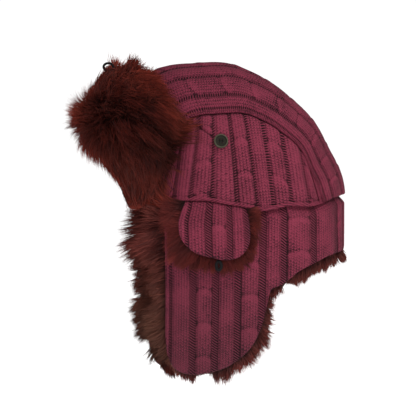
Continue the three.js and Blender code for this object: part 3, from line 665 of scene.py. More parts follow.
def flap_point(across, up, distance):
    """A point off the flap. Past the top it goes straight on, past the ends it follows the crown."""
    across, up, distance = np.broadcast_arrays(np.asarray(across, float), up, distance)
    a, u = np.clip(across, -0.99, 0.99), np.clip(up, 0.005, 0.995)
    point = off(flap_surface, a, u, 0.004, 0.004, distance, FLAP_CENTRE)
    past = np.maximum(np.abs(across) - 1, 0) * PAST_UNIT
    shift = (flap_end(u, past) - flap_end(u)) * vectors(np.sign(across), 1, 1)
    way = flap_surface(a, u + 0.004) - flap_surface(a, u - 0.004)
    way /= np.linalg.norm(way, axis=-1, keepdims=True)
    return point + shift + way * ((up - u) * PAST_UNIT)[..., None]


def front_outer(a, b, roll):
    wide, high = a * FLAP_SIZE[0], b * FLAP_SIZE[1]
    twisted = [index % 2 == 0 for index in range(11)]
    height, mask, painted_light = ribbing(wide, high, np.arange(12) * FLAP_RIB, twisted, FLAP_LADDER)
    points = flap_point(2 * a - 1, b, -(KNIT_WALL / 2 - 1.6 * roll))
    return points, beside(mask, height, painted_light), beside(wide, high)


def front_inner(a, b):
    return flap_point(2 * a - 1, b, KNIT_WALL / 2)


front_flap = knit_wall("front_flap_knit", 20, 10, FLAP_SIZE, front_outer, front_inner)
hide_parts("front_flap")

# %% [markdown]
# ## Long pile
#
# The lining is long, soft pile in dark red-brown. Hair particles don't export and a bump map has no outline,
# so the pile is grown as thin tapered blades, all in one mesh per piece. A blade starts on its cloth,
# rises and lies over as the pile is combed, and its tip is drawn towards its tuft's tip. Tufts differ in
# length and direction, which gives the edge its locks.

# %% Blades
RINGS = np.array([0, 0.48, 1.0])
BLADE_CORNERS, BLADE_FACES = [0, 1, 3, 2, 2, 3, 4], [4, 3]
RAGGED = 0.16
PELT_SHADES = (0.4, 0.5, 0.3)


def tufts(a, b, size_a, size_b, seed):
    """The tuft each root belongs to: its middle, and three random numbers that its blades share."""
    dice = np.random.default_rng(seed)
    column = np.floor((a - a.min()) / size_a + dice.normal(0, RAGGED, a.shape)).astype(int) + 2
    row = np.floor((b - b.min()) / size_b + dice.normal(0, RAGGED, a.shape)).astype(int) + 2
    shape = (column.max() + 1, row.max() + 1)
    shift = dice.uniform(0.2, 0.8, shape + (2,))[column, row]
    own = dice.uniform(0, 1, shape + (3,))[column, row]
    middle_a = a.min() + (column - 2 + shift[:, 0]) * size_a
    middle_b = b.min() + (row - 2 + shift[:, 1]) * size_b
    return (middle_a, middle_b), own


def blades(name, surface, a, b, way_a, way_b, base, depth, middle, own, width=0.8, clump=0.6, wave=0.8,
           lift=0.75, bright=1.0):
    """One mesh of blades over a surface. Ways and depths are the distances from root to tip."""
    count = len(a)
    dice = np.random.default_rng(len(name) * 7 + count)
    rings = []
    for share in RINGS:
        drawn = clump * share ** 1.4
        place_a = a + way_a * share + (middle[0] - a) * drawn
        place_b = b + way_b * share + (middle[1] - b) * drawn
        rings.append(surface(place_a, place_b, base + depth * share ** lift))
    rings = np.array(rings)
    swing = dice.normal(0, 1, (count, 3)) * wave
    rings += swing[None] * np.sin(RINGS * 2.6)[:, None, None]
    along = np.gradient(rings, axis=0)
    along /= np.linalg.norm(along, axis=-1, keepdims=True) + 1e-9
    across = np.cross(along, dice.normal(0, 1, (count, 3))[None])
    across /= np.linalg.norm(across, axis=-1, keepdims=True) + 1e-9
    half = 0.5 * width * dice.uniform(0.6, 1.2, count)[None, :, None]
    half = half * (1 - 0.5 * RINGS[:-1] ** 1.5)[:, None, None]
    left, right = rings[:-1] + across[:-1] * half, rings[:-1] - across[:-1] * half
    sides = np.stack([left, right], axis=1).reshape(-1, count, 3)
    points = np.concatenate([sides, rings[-1:]]).transpose(1, 0, 2)
    per = points.shape[1]
    corners = (np.arange(count)[:, None] * per + BLADE_CORNERS).ravel()
    sizes = np.tile(BLADE_FACES, count)
    mesh = bpy.data.meshes.new(name)
    mesh.vertices.add(count * per)
    mesh.vertices.foreach_set("co", (points * MM).ravel())
    mesh.loops.add(len(corners))
    mesh.loops.foreach_set("vertex_index", corners)
    mesh.polygons.add(len(sizes))
    mesh.polygons.foreach_set("loop_start", np.concatenate([[0], np.cumsum(sizes)[:-1]]))
    mesh.polygons.foreach_set("use_smooth", np.ones(len(sizes), bool))
    mesh.update(calc_edges=True)
    mesh.validate()
    tone = np.ones((count, per, 4), np.float32)
    tone[:, :, 0] = np.append(np.repeat(RINGS[:-1], 2), 1)[None]
    tone[:, :, 1] = dice.uniform(0, 1, count)[:, None]
    tone[:, :, 2] = own[:, 2][:, None]
    tone[:, :, 3] = np.broadcast_to(bright, count)[:, None]
    shade(mesh, tone)
    print(name, count, "blades")
    return placed(name, mesh)


def pelt(name, columns, rows, front, back):
    """The closed cloth that pile grows on, between two faces given over 0 to 1."""
    bm = bmesh.new()
    for face in (front, back):
        made, column, row = grid(bm, columns, rows)
        move(made, face(column / columns, row / rows))
    close_up(bm)
    return finished(name, bm, shades=np.array([PELT_SHADES] * len(bm.verts)))


# %% [markdown]
# ## Pile of the front flap
#
# This is the deepest fur of the hat. It is combed from the middle to both ends and stands up along the top.
# Combing by hand can't be repeated, so depth and direction are formulas, with chance from a fixed seed.

# %% Pile of the front flap
FLAP_PILE = [(0, 2), (0.28, 2.5), (0.45, 9.5), (0.62, 27), (0.7, 34), (0.76, 24), (0.82, 9), (0.88, 4),
             (0.94, 8), (1, 11)]
FLAP_BASE = KNIT_WALL / 2 + GAP
TUFT_ACROSS, TUFT_UP = 0.075, 0.065


def flap_pile(count, extra):
    """Pile of the flap, combed from its middle to its ends, with extra in its middle and at its top."""
    dice = np.random.default_rng(416)
    across = dice.uniform(-1.02, 1.02, count - 2 * extra)
    across = np.append(across, np.clip(dice.normal(0, 0.22, extra), -1, 1))
    across = np.append(across, dice.uniform(0.22, 0.8, extra) * dice.choice([-1, 1], extra))
    up = np.append(dice.uniform(0, 1.01, count - extra), dice.uniform(0.86, 1.01, extra))
    middle, own = tufts(across, up, TUFT_ACROSS, TUFT_UP, 5)
    side, out = np.sign(across), np.abs(across)
    by_loop = rise(out, 0.48, -0.22) * rise(up, 0.84, 0.1)
    fuller = rise(out, 0.36, 0.18) * rise(out, 1, -0.25)
    deep = read(FLAP_PILE, up) * (1 - 0.42 * out ** 3) * (1 - 0.9 * by_loop)
    deep = deep + 11 * fuller * rise(up, 0.78, 0.1)
    deep = deep * (0.86 + 0.22 * own[:, 0]) * dice.uniform(0.84, 1.08, count)
    way_across = side * (0.13 * smooth(out / 0.4) - 0.04 * rise(out, 0.6, 0.4))
    way_across = way_across + (own[:, 1] - 0.5) * 0.2 + dice.normal(0, 0.045, count)
    raised = 0.165 * (1 - by_loop) * (1 - 0.75 * rise(out, 0.62, 0.3)) * rise(up, 0.72, 0.28)
    way_up = raised - 0.22 * rise(up, 0.8, -0.6)
    way_up = way_up + (own[:, 2] - 0.5) * (0.15 - 0.07 * rise(up, 0.7, 0.1))
    way_up = np.maximum(up + way_up + dice.normal(0, 0.028, count), -0.05) - up
    # Painted light on the strands: painted shade over the heart of the pile and its upper ends, painted
    # highlights along its edges.
    heart_shade = np.exp(-((out - 0.85) / 0.4) ** 2 - ((up - 0.62) / 0.2) ** 2)
    edge_light = np.maximum(0.55 * rise(out, 0.55, 0.4) * (1 - heart_shade), rise(out, 0.16, -0.16))
    edge_light = np.maximum(edge_light, np.maximum(rise(up, 0.8, 0.15), rise(up, 0.3, -0.2)))
    button_side_shade = rise(out, 0.62, 0.2) * rise(up, 0.4, 0.2)
    bright = (0.5 + 0.5 * edge_light) * (0.6 + 0.6 * own[:, 1]) * (1 - 0.45 * heart_shade) * (1 - 0.32 * button_side_shade)
    return blades("front_flap_pile", flap_point, across, up, way_across, way_up, FLAP_BASE, deep,
                  middle, own, width=1.05, clump=0.55, wave=1.7, bright=np.minimum(bright, 1))


front_pile = flap_pile(36000, 7000)
front_pelt = pelt("front_flap_pelt", 40, 20, lambda a, b: flap_point(2 * a - 1, b, FLAP_BASE + 1.5),
                  lambda a, b: flap_point(2 * a - 1, b, FLAP_BASE))
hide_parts("front_flap_fur")
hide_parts("front_flap_fur")

# %% [markdown]
# ## Lining of the band
#
# The same pile lines the band and the earflaps, and hangs out below the knit. It is thickest along the
# edges, the only places where it shows, and its length follows the photographed fringe.

# %% Pile behind the band
def lining(arc, z, distance):
    """A point off the lining's cloth. Past the earflap's front edge it goes straight on."""
    arc, z, distance = np.broadcast_arrays(np.asarray(arc, float), np.asarray(z, float), distance)
    below = hem_over(arc) - z
    inset = band_inset(below) + KNIT_WALL + GAP + FACET
    round_it = hang(arc, z, -inset - distance)
    past = np.maximum(np.abs(arc) - BAND_END, 0)
    side = np.sign(arc)
    reach = past * (1.3 - 0.3 * rise(-z, 75, 20))
    forward = vectors(-0.2 * side, -0.98, 0 * z) * reach[..., None]
    straight = hang(side * BAND_END, z, -inset - distance) + forward
    share = (smooth((below + 1) / 6) * (past > 0))[..., None]
    return round_it + (straight - round_it) * share


def knit_low(arc):
    """Lower edge of the cloth that carries the pile."""
    return read(KNIT_EDGE, np.minimum(np.abs(arc), BAND_END - 1.5)) - 1


FRONT_EDGE = BAND_END + 6
FRONT_FRINGE = [(-175, -4), (-163, -7), (-152, 0), (-145, 13), (-138, 2), (-129, 4), (-121, 2), (-112, 5),
                (-104, 6), (-96, 2), (-87, -1), (-79, 1), (-62, -2), (-54, -6), (-43, 7), (-30, 11),
                (-12, 0), (0, -1)]
REAR_EDGE = [(80, 134), (116, 146), (152, 164), (172, 200)]
REAR_TOP = -86
BARE = {1: (-64, -39), -1: (-38, -6)}
LINING_LOOK = {"width": 1.05, "clump": 0.5, "wave": 1.1}


def flap_lining(label, side, count, seed):
    """Pile of one earflap, thicker at its edges, where it hangs out past the knit."""
    dice = np.random.default_rng(seed)
    arc = np.append(dice.uniform(128, FRONT_EDGE, 3 * count), dice.uniform(BAND_END - 5, FRONT_EDGE, count))
    top = hem_over(arc) - 2 + 4 * smooth((arc - BAND_END + 4) / 6)
    low = knit_low(arc)
    z = top + (low - top) * dice.uniform(0, 1, 4 * count)
    edge = np.minimum(FRONT_EDGE - arc, z - low)
    from_rear = arc - np.interp(-z, *zip(*REAR_EDGE))
    edge = np.where(z < REAR_TOP, np.minimum(edge, from_rear), edge)
    chance = 0.16 + 0.84 * np.exp(-np.maximum(edge, 0) / 9)
    kept = np.flatnonzero(dice.uniform(0, 1, 4 * count) < chance)[:count]
    arc, z, count = arc[kept], z[kept], len(kept)
    middle, own = tufts(arc, z, 6.5, 6.5, seed)
    ahead = rise(arc, 226, 26)
    behind = rise(arc, 176, -30) * rise(-z, 84, 16)
    out_a = 0.95 * ahead - 0.9 * behind + (own[:, 0] - 0.5) * 0.5 + dice.normal(0, 0.16, count)
    out_b = -1 + 0.3 * ahead + 0.3 * behind + (own[:, 1] - 0.5) * 0.9 + dice.normal(0, 0.24, count)
    out_b = out_b + 1.1 * ahead * smooth((z + 26) / 20)
    size = np.hypot(out_a, out_b)
    further = np.interp(z, *zip(*FRONT_FRINGE)) * ahead
    further = further + 8 * rise(arc, 205, -20) * rise(-z, 110, 20)
    further = further - 3.5 * rise(arc, 196, 10) * rise(arc, 228, -8)
    length = (12 + 4.5 * own[:, 2] + further) * (1 + 0.12 * ahead) * dice.uniform(0.65, 1.12, count)
    place_y = np.interp(arc, plan_arc, plan_y)
    start, end = BARE[side]
    bare = smooth((place_y - start) / 5) * smooth((end - place_y) / 5) * rise(-z, 140, 20)
    length = length * (1 - 0.75 * bare)
    way_a, way_b = length * out_a / size, length * out_b / size
    deep = 4 + 4 * own[:, 0] + 2 * dice.uniform(0, 1, count)
    outside = (arc > BAND_END + 0.8) & (dice.uniform(0, 1, count) < 0.55)
    deep = np.where(outside, -2.5 - 3 * own[:, 0], deep)
    base = np.where(outside, -0.3, 2.5)
    return blades("lining_pile_" + label, lining, side * arc, z, side * way_a, way_b, base, deep,
                  (side * middle[0], middle[1]), own, bright=0.5 + 0.5 * own[:, 1], **LINING_LOOK)


linings = [flap_lining(label, side, 32000, 20 + index) for index, (label, side) in enumerate(SIDES)]


def nape_lining(count):
    """Pile of the band behind the ears, growing thicker towards its lower edge."""
    dice = np.random.default_rng(31)
    arc = dice.uniform(-131, 131, count)
    top = hem_over(arc) - 2
    z = knit_low(arc) + (top - knit_low(arc)) * dice.uniform(0, 1, count) ** 3
    middle, own = tufts(arc, z, 8, 8, 32)
    length = (13 + 4.5 * own[:, 2]) * dice.uniform(0.8, 1.12, count)
    way_a = length * ((own[:, 0] - 0.5) * 0.7 + dice.normal(0, 0.1, count))
    length = length * (1 - 0.55 * rise(np.abs(arc), 106, 16))
    low = z < knit_low(arc) + 5
    behind = rise(np.abs(arc), 60, -40)
    deep = np.where(low, -15 * behind + 8 * own[:, 1], 4 + 4 * own[:, 1])
    return blades("lining_pile_nape", lining, arc, z, way_a, -length * (1 - 0.4 * behind * low), 2.5, deep,
                  middle, own, bright=0.5 + 0.5 * own[:, 1], **LINING_LOOK)


linings.append(nape_lining(22000))


def lining_face(distance, a, b):
    arc = (2 * a - 1) * FRONT_EDGE
    top = hem_over(arc) + BAND_TUCK - 2
    return lining(arc, top + (knit_low(arc) - top) * b, distance)


lining_pelt = pelt("lining_pelt", 120, 24, partial(lining_face, 0.0), partial(lining_face, 2.5))
for piece in linings + [lining_pelt]:
    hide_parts("earflap_lining_fur")

# %% [markdown]
# ## Pile of the tabs
#
# Only the fringe round a tab shows. Pile over its whole back would be hidden, so the roots stand along its
# edge and the strands point outwards, the longest of them forwards.

# %% Pile under the tabs
TAB_FUR_BASE = RIB_HEIGHT - BAND_REST + GAP


def tab_pile(label, side, count, seed):
    """Pile round a tab: its roots are hidden under the tab, its tips stand out past its edge."""
    dice = np.random.default_rng(seed)
    turn = dice.uniform(-1.55, 1.55, count)
    out_a = np.sin(turn)
    straight = np.abs(out_a) > 0.9
    edge_arc = TAB_ARC + TAB_HALF * np.clip(out_a * 1.04, -1, 1)
    edge_below = np.where(straight, dice.uniform(0, 38, count), tab_length(edge_arc))
    inside = np.where(edge_below < 16, dice.uniform(-3, 1, count), dice.uniform(0, 9, count))
    arc = edge_arc - inside * out_a
    below = edge_below - inside * np.cos(turn)
    middle, own = tufts(arc, below, 7, 7, seed)
    front = smooth(out_a)
    reach = (11 + 13 * front + 4 * np.cos(turn) + 4 * (own[:, 1] - 0.5)) * dice.uniform(0.7, 1.1, count)
    way_a = reach * np.where(straight, 0.9 * np.sign(out_a), out_a) + (own[:, 0] - 0.5) * 5
    way_b = reach * np.where(straight, dice.uniform(-0.4, 0.9, count), np.cos(turn) + 0.2 * front)
    deep = (5.5 + 3.5 * own[:, 2]) * dice.uniform(0.4, 1.1, count)
    return blades("ear_tab_pile_" + label, partial(below_hem, side), arc, below, way_a, way_b, TAB_FUR_BASE,
                  deep, middle, own, width=0.9, clump=0.7, wave=0.8, lift=1.2,
                  bright=0.35 + 0.65 * own[:, 0])


def tab_pelt_face(side, layer, a, b):
    """One face of the cloth between a tab and the band, at a share of the room there."""
    arc = TAB_ARC + (TAB_HALF - 2) * (2 * a - 1)
    below = 15 + (tab_length(arc) - 18) * b
    room = tab_inner_off(below) - 2 * GAP - TAB_FUR_BASE
    return below_hem(side, arc, below, TAB_FUR_BASE + layer * room)


tab_furs = []
for index, (label, side) in enumerate(SIDES):
    pile = tab_pile(label, side, 12000, 50 + index)
    cloth = pelt("ear_tab_pelt_" + label, 20, 12, partial(tab_pelt_face, side, 0.9),
                 partial(tab_pelt_face, side, 0.1))
    tab_furs += [pile, cloth]
    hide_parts("ear_tab_fur_" + label)
    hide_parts("ear_tab_fur_" + label)

# %% [markdown]
# ## Button
#
# A four-hole button on each side takes the elastic loop of the tab when it is turned up. A cylinder with cut
# holes would do, but a filled outline keeps clean faces, so the button is a plate with four holes, extruded,
# in a spun rim.

# %% Button
BUTTON_SECTION = [(5.5, 0.1), (6.8, 0), (7.4, 0.5), (7.5, 1.5), (7.3, 2.4), (6.8, 2.85), (6.2, 2.9),
                  (5.75, 2.6), (5.4, 1.95)]
BUTTON_RADIUS, PLATE_RADIUS, PLATE_THICK = 7.5, 5.6, 2
HOLE_RADIUS, HOLE_OUT = 0.95, 2.1
BUTTON_Y, BUTTON_Z = -36.0, 65.5
THREAD_OUT, THREAD_PITCH, THREAD_RADIUS, THREAD_HIGH = 1.48, 0.75, 0.55, 2.2


def edges_of(vertices):
    """Their edges, each once and in a fixed order."""
    return list(dict.fromkeys(edge for vertex in vertices for edge in vertex.link_edges))


def circle_edges(bm, radius, segments, place=(0, 0, 0)):
    """The edges of a new circle in bm."""
    made = bmesh.ops.create_circle(bm, segments=segments, radius=radius, cap_ends=False,
                                   matrix=Matrix.Translation(place))
    return edges_of(made["verts"])


def button_mesh():
    """The plate with its holes, and the rim round it."""
    bm = bmesh.new()
    edges = circle_edges(bm, PLATE_RADIUS, 48)
    for hole in range(4):
        turn = math.pi / 4 + hole * math.pi / 2
        edges += circle_edges(bm, HOLE_RADIUS, 14, (HOLE_OUT * math.cos(turn), HOLE_OUT * math.sin(turn), 0))
    bmesh.ops.triangle_fill(bm, use_beauty=True, use_dissolve=False, edges=edges)
    plate = bmesh.ops.extrude_face_region(bm, geom=bm.faces[:])["geom"]
    raised = [item for item in plate if isinstance(item, bmesh.types.BMVert)]
    bmesh.ops.translate(bm, vec=(0, 0, PLATE_THICK), verts=raised)
    section = [bm.verts.new((x, 0, z)) for x, z in BUTTON_SECTION]
    lines = [bm.edges.new(pair) for pair in zip(section, section[1:] + section[:1])]
    bmesh.ops.spin(bm, geom=section + lines, cent=(0, 0, 0), axis=(0, 0, 1), angle=2 * math.pi, steps=48,
                   use_merge=True, use_duplicate=False)
    bmesh.ops.remove_doubles(bm, verts=bm.verts, dist=0.001)
    bmesh.ops.recalc_face_normals(bm, faces=bm.faces)
    return bm


def thread_mesh():
    """Two rows of short round stitches through the holes."""
    bm = bmesh.new()
    for x in (-THREAD_OUT, THREAD_OUT):
        for step in range(5):
            y = -1.5 + THREAD_PITCH * step
            made = bmesh.ops.create_uvsphere(bm, u_segments=8, v_segments=6, radius=THREAD_RADIUS,
                                             matrix=Matrix.Translation((x, y, THREAD_HIGH)))
            bmesh.ops.scale(bm, vec=(0.8, 1.4, 0.8), space=Matrix.Translation((-x, -y, -THREAD_HIGH)),
                            verts=made["verts"])
    return bm


buttons, threads = [], []
for label, side in SIDES:
    foot, further = (Vector(crown_side(side, BUTTON_Y, BUTTON_Z, distance)) for distance in (0, 1))
    out = further - foot
    turn = out.to_track_quat("Z", "Y").to_matrix().to_4x4()
    place = Matrix.Scale(MM, 4) @ Matrix.Translation(foot + out * (RIB_HEIGHT + GAP)) @ turn
    bm = button_mesh()
    from_middle = np.array([[vertex.co.xy.length / BUTTON_RADIUS, 0, 0] for vertex in bm.verts])
    bmesh.ops.transform(bm, matrix=place, verts=bm.verts)
    button = finished("side_button_detail_" + label, bm, shades=from_middle)
    button.data.set_sharp_from_angle(angle=math.radians(40))
    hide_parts("side_button_" + label)
    buttons.append(button)
    bm = thread_mesh()
    bmesh.ops.transform(bm, matrix=place, verts=bm.verts)
    threads.append(finished("button_thread_" + label, bm))

# %% [markdown]
# ## Elastic loops
#
# Small loops of black elastic cord sit on the front flap's top edge and at the tabs' tips. A curve with a
# round bevel would do. A spun ring whose points are moved onto an oval is a closed mesh from the start.

# %% Elastic loops
SPUN = 10
SOLID_CORD, FRONT_LOOP_HIGH, TAB_LOOP_HIGH = 1.1, 4.2, 4.9
# Half width and half height of each oval, and the radius of its cord.
FRONT_OVAL, TAB_OVAL = (5.0, 4.0, 1.3), (2.5, 4.3, 1.7)


def oval_cord(name, place, wide_way, high_way, half_wide, half_high, radius):
    """A closed oval of round cord: a ring is spun, then its points are moved onto the oval."""
    bm = bmesh.new()
    start = Matrix.Translation((SPUN, 0, 0)) @ Matrix.Rotation(math.pi / 2, 4, "X")
    ring = bmesh.ops.create_circle(bm, segments=10, radius=radius, cap_ends=False, matrix=start)
    bmesh.ops.spin(bm, geom=ring["verts"] + edges_of(ring["verts"]), cent=(0, 0, 0), axis=(0, 0, 1),
                   angle=2 * math.pi, steps=40, use_merge=True, use_duplicate=False)
    bmesh.ops.remove_doubles(bm, verts=bm.verts, dist=0.0001)
    face_way = wide_way.cross(high_way)
    for vertex in bm.verts:
        turn = math.atan2(vertex.co.y, vertex.co.x)
        out = (wide_way * half_high * math.cos(turn) + high_way * half_wide * math.sin(turn)).normalized()
        middle = wide_way * half_wide * math.cos(turn) + high_way * half_high * math.sin(turn)
        extra = math.hypot(vertex.co.x, vertex.co.y) - SPUN
        vertex.co = (place + middle + out * extra + face_way * vertex.co.z) * MM
    bmesh.ops.recalc_face_normals(bm, faces=bm.faces)
    print(name, "is", round(2 * half_wide, 1), "by", round(2 * half_high, 1), "mm")
    return finished(name, bm)


UPRIGHT = Vector((0, 0, 1))
top = flap_point(0.0, 1.0, 0.0)
spot = Vector((0, top[1] - 1, top[2] + 0.5 + SOLID_CORD + FRONT_LOOP_HIGH + GAP))
front_loop = oval_cord("front_loop_cord", spot, Vector((0, 1, 0)), UPRIGHT, *FRONT_OVAL)
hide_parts("front_loop")
loops = [front_loop]
for label, side in SIDES:
    below = float(tab_length(TAB_ARC)) + GAP + SOLID_CORD + TAB_LOOP_HIGH
    arc = side * (TAB_ARC - 3)
    along = Vector(hang(arc + 1, 0, 0) - hang(arc - 1, 0, 0)).normalized()
    spot = hang(arc, float(hem_over(arc)) - below, float(tab_inner_off(below)) + KNIT_WALL / 2)
    loop = oval_cord("tab_loop_cord_" + label, Vector(spot), along, UPRIGHT, *TAB_OVAL)
    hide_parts("tab_loop_" + label)
    loops.append(loop)

# %% [markdown]
# ## Materials
#
# A material's maths reads best as a formula, so a small class wraps a socket and turns sums and products
# into Math nodes. A picture of knit would repeat and blur, so the knit reads the stitch map of each wall:
# columns of V-shaped stitches on the ribs, and slanted rungs in the ladders, give its colour and its bump.
# Its colour also holds painted light: painted shade between stitches, in the valleys, on low relief and
# towards the bottom, and painted highlights on the crossings and the hem's lip.

# %% Shader sums
class Tone:
    """One value of a finish. Sums and products of it become Math nodes."""

    def __init__(self, finish, socket):
        self.finish, self.socket = finish, socket

    def math(self, operation, *values):
        return self.finish.node("ShaderNodeMath", {"operation": operation}, dict(enumerate(values)))

    def part(self, name):
        return Tone(self.finish, self.socket.node.outputs[name])

    def __add__(self, other):
        return self.math("ADD", self, other)

    def __sub__(self, other):
        return self.math("SUBTRACT", self, other)

    def __rsub__(self, other):
        return self.math("SUBTRACT", other, self)

    def __mul__(self, other):
        return self.math("MULTIPLY", self, other)

    def __truediv__(self, other):
        return self.math("DIVIDE", self, other)

    def __pow__(self, other):
        return self.math("POWER", self, other)

    __radd__, __rmul__ = __add__, __mul__

    def fract(self):
        return self.math("FRACT", self)

    def size(self):
        return self.math("ABSOLUTE", self)

    def wave(self):
        """From 0 to 1 and back, once for each whole number."""
        return 0.5 + 0.5 * self.math("SINE", 2 * math.pi * self)

    def clamped(self):
        return self.math("MINIMUM", self.math("MAXIMUM", self, 0), 1)


class Finish:
    """A material under construction."""

    def __init__(self, name, **constants):
        self.material = bpy.data.materials.new(name)
        self.material.use_nodes = True
        self.tree = self.material.node_tree
        self.shader = self.tree.nodes["Principled BSDF"]
        for socket, value in constants.items():
            self.shader.inputs[socket.replace("_", " ")].default_value = value

    def node(self, kind, settings=None, inputs=None, output=0):
        """A node with its settings and inputs. The tone of one of its outputs comes back."""
        item = self.tree.nodes.new(kind)
        for key, value in (settings or {}).items():
            setattr(item, key, value)
        for key, value in (inputs or {}).items():
            if isinstance(value, Tone):
                self.tree.links.new(value.socket, item.inputs[key])
            else:
                item.inputs[key].default_value = value
        return Tone(self, item.outputs[output])

    def ramp(self, factor, stops):
        """A colour that runs through stops, each a place and a colour."""
        tone = self.node("ShaderNodeValToRGB", inputs={0: factor})
        elements = tone.socket.node.color_ramp.elements
        while len(elements) < len(stops):
            elements.new(1)
        for element, (place, shade_there) in zip(elements, stops):
            element.position, element.color = place, shade_there
        return tone

    def mix(self, factor, first, second):
        return self.node("ShaderNodeMix", {"data_type": "RGBA"}, {0: factor, 6: first, 7: second}, output=2)

    def place(self):
        """Where a point lies, in metres."""
        return self.node("ShaderNodeTexCoord", output="Object")

    def axis(self, place, name):
        return self.node("ShaderNodeSeparateXYZ", inputs={0: place}).part(name)

    def shades(self):
        """The four numbers that each vertex carries."""
        tone = self.node("ShaderNodeAttribute", {"attribute_name": "shades"})
        parts = self.node("ShaderNodeSeparateColor", inputs={0: tone})
        return parts.part("Red"), parts.part("Green"), parts.part("Blue"), tone.part("Alpha")

    def noise(self, scale, detail=2.0):
        inputs = {"Vector": self.place(), "Scale": scale, "Detail": detail}
        return self.node("ShaderNodeTexNoise", inputs=inputs)

    def bump(self, height, distance, strength):
        self.feed("Normal", self.node("ShaderNodeBump", inputs={"Height": height, "Distance": distance,
                                                                "Strength": strength}))

    def feed(self, socket, tone):
        self.tree.links.new(tone.socket, self.shader.inputs[socket])


def colour(red, green, blue):
    """A linear colour from the 0 to 255 values of a picture."""
    parts = [value / 255 for value in (red, green, blue)]
    return tuple(p / 12.92 if p <= 0.04045 else ((p + 0.055) / 1.055) ** 2.4 for p in parts) + (1.0,)


# %% Knit
WALE, COURSE = 3.05 * MM, 2.7 * MM
RUNG_SLANT, PURL_WIDTH = 4.4 * MM, 2.4 * MM


def knit_finish(name, light, middle, dark, bottom_shade):
    finish = Finish(name, Roughness=0.9, Specular_IOR_Level=0.12)
    yarn = finish.node("ShaderNodeUVMap", {"uv_map": "yarn"})
    across, along = finish.axis(yarn, "X"), finish.axis(yarn, "Y")
    # The third number is painted light: painted highlight and shade on the crossings, painted highlight on
    # the hem's lip.
    ladder, height, painted_light, _ = finish.shades()
    soft, patch, fibre = finish.noise(45.0), finish.noise(330.0), finish.noise(1100.0)
    slack = (soft - 0.5) * 1.6
    leg = ((across / WALE + 0.25 * (patch - 0.5)).fract() - 0.5).size()
    column = 1 - 0.6 * (2 * leg) ** 1.8
    rows = (along / COURSE + leg * 1.1 + across / WALE * 0.5 + 2 * slack + 0.4 * (patch - 0.5)).wave()
    stocking = column * (0.46 + 0.54 * (rows * 1.4 - 0.2).clamped())
    rungs = (along / COURSE + across / RUNG_SLANT + slack).wave()
    purl = (rungs * 1.8 - 0.5).clamped() * (0.8 + 0.2 * (across / PURL_WIDTH).wave())
    stitch = stocking + (purl - stocking) * ladder
    # lit holds the stitches and chance tones, painted shade between the stitches and where the relief lies
    # low, and the crossings' painted light.
    lit = 1.5 * stitch - 0.08 + 1.6 * (fibre - 0.5) + 0.9 * (patch - 0.5) + 1.2 * (soft - 0.5)
    lit = ((lit + 0.9 * (painted_light - 0.5)) * (0.5 + 0.5 * height + 0.45 * ladder)).clamped()
    # Painted shade: the knit turns darker and duller towards the bottom of the hat.
    low = ((-0.04 - finish.axis(finish.place(), "Z")) / 0.13).clamped()
    knit = finish.mix(low * 0.45, finish.mix(lit, colour(*middle), colour(*light)), colour(*bottom_shade))
    # Painted shade in the valleys between the ribs and between the rungs of the ladders.
    painted_shade = (1 - height * 2.1).clamped() ** 1.1 * (1 - 0.75 * ladder) + 0.75 * (1 - purl) * ladder
    finish.feed("Base Color", finish.mix((painted_shade * 0.95).clamped(), knit, colour(*dark)))
    finish.bump(stitch + 0.3 * fibre, 1.2 * MM, 0.8)
    return finish.material


# The third colour is painted shade for the valleys, the last painted shade for the bottom.
plum = knit_finish("plum knit", (110, 40, 57), (24, 6, 12), (10, 2, 4), (46, 28, 32))
for piece in [crown_center, band, front_flap] + crown_sides + tabs:
    piece.data.materials.append(plum)

# %% [markdown]
# ## Finish of the pile
#
# A strand is nearly black at its root and paler to its tip, partly its own colour and partly painted
# shade deep in the pile, and no two are alike. Hair shaders want hair, so each strand's mesh carries
# numbers: the place along it, two shades by chance, and how bright it is: painted light and shade on the
# front flap, chance on the rest.

# %% Pile
def pile_finish(name, root, middle, tip, warm, low=None):
    """Pile that lightens to its tips. low is the paler brown of its lower front, where it has one."""
    finish = Finish(name, Roughness=0.75, Specular_IOR_Level=0.15)
    along, own, tuft, bright = finish.shades()
    stops = [(0.0, colour(*root)), (0.45, colour(*middle)), (1.0, colour(*tip))]
    pile = finish.ramp((along * (0.75 + 0.5 * own)).clamped(), stops)
    pile = finish.mix((tuft * 0.45 + own * 0.25) * along, pile, colour(*warm))
    if low is not None:
        ahead = ((-0.068 - finish.axis(finish.place(), "Y")) / 0.02).clamped()
        under = ((-0.045 - finish.axis(finish.place(), "Z")) / 0.08).clamped()
        pile = finish.mix(ahead * under * (0.3 + 0.7 * along), pile, colour(*low))
    # Dimmer strands are drawn towards the root colour, a painted shade.
    finish.feed("Base Color", finish.mix(bright, colour(*root), pile))
    return finish.material


front_fur = pile_finish("front flap pile", (14, 2, 1), (58, 14, 11), (122, 40, 31), (132, 52, 34))
lining_fur = pile_finish("lining pile", (26, 9, 8), (66, 24, 22), (108, 46, 41), (122, 58, 48), (88, 56, 43))
tab_fur = pile_finish("tab pile", (20, 5, 5), (66, 20, 20), (108, 40, 40), (116, 44, 34))
furs = ((front_fur, [front_pile, front_pelt]), (lining_fur, linings + [lining_pelt]), (tab_fur, tab_furs))
for material, pieces in furs:
    for piece in pieces:
        piece.data.materials.append(material)
    print(material.name, "on", len(pieces), "pieces")

# %% [markdown]
# ## Finish of button and elastic
#
# The button is dark horn. Its rim is painted paler, a painted highlight, and the groove inside the rim and
# the rim's outer edge are painted near black, a painted shade. Rings need no picture: a ramp reads each
# point's distance from the middle. The thread and the loops are black, and a pattern of small cells stands
# for the woven cover.

# %% Button, thread and elastic
horn = Finish("dark horn", Roughness=0.45, Specular_IOR_Level=0.07)
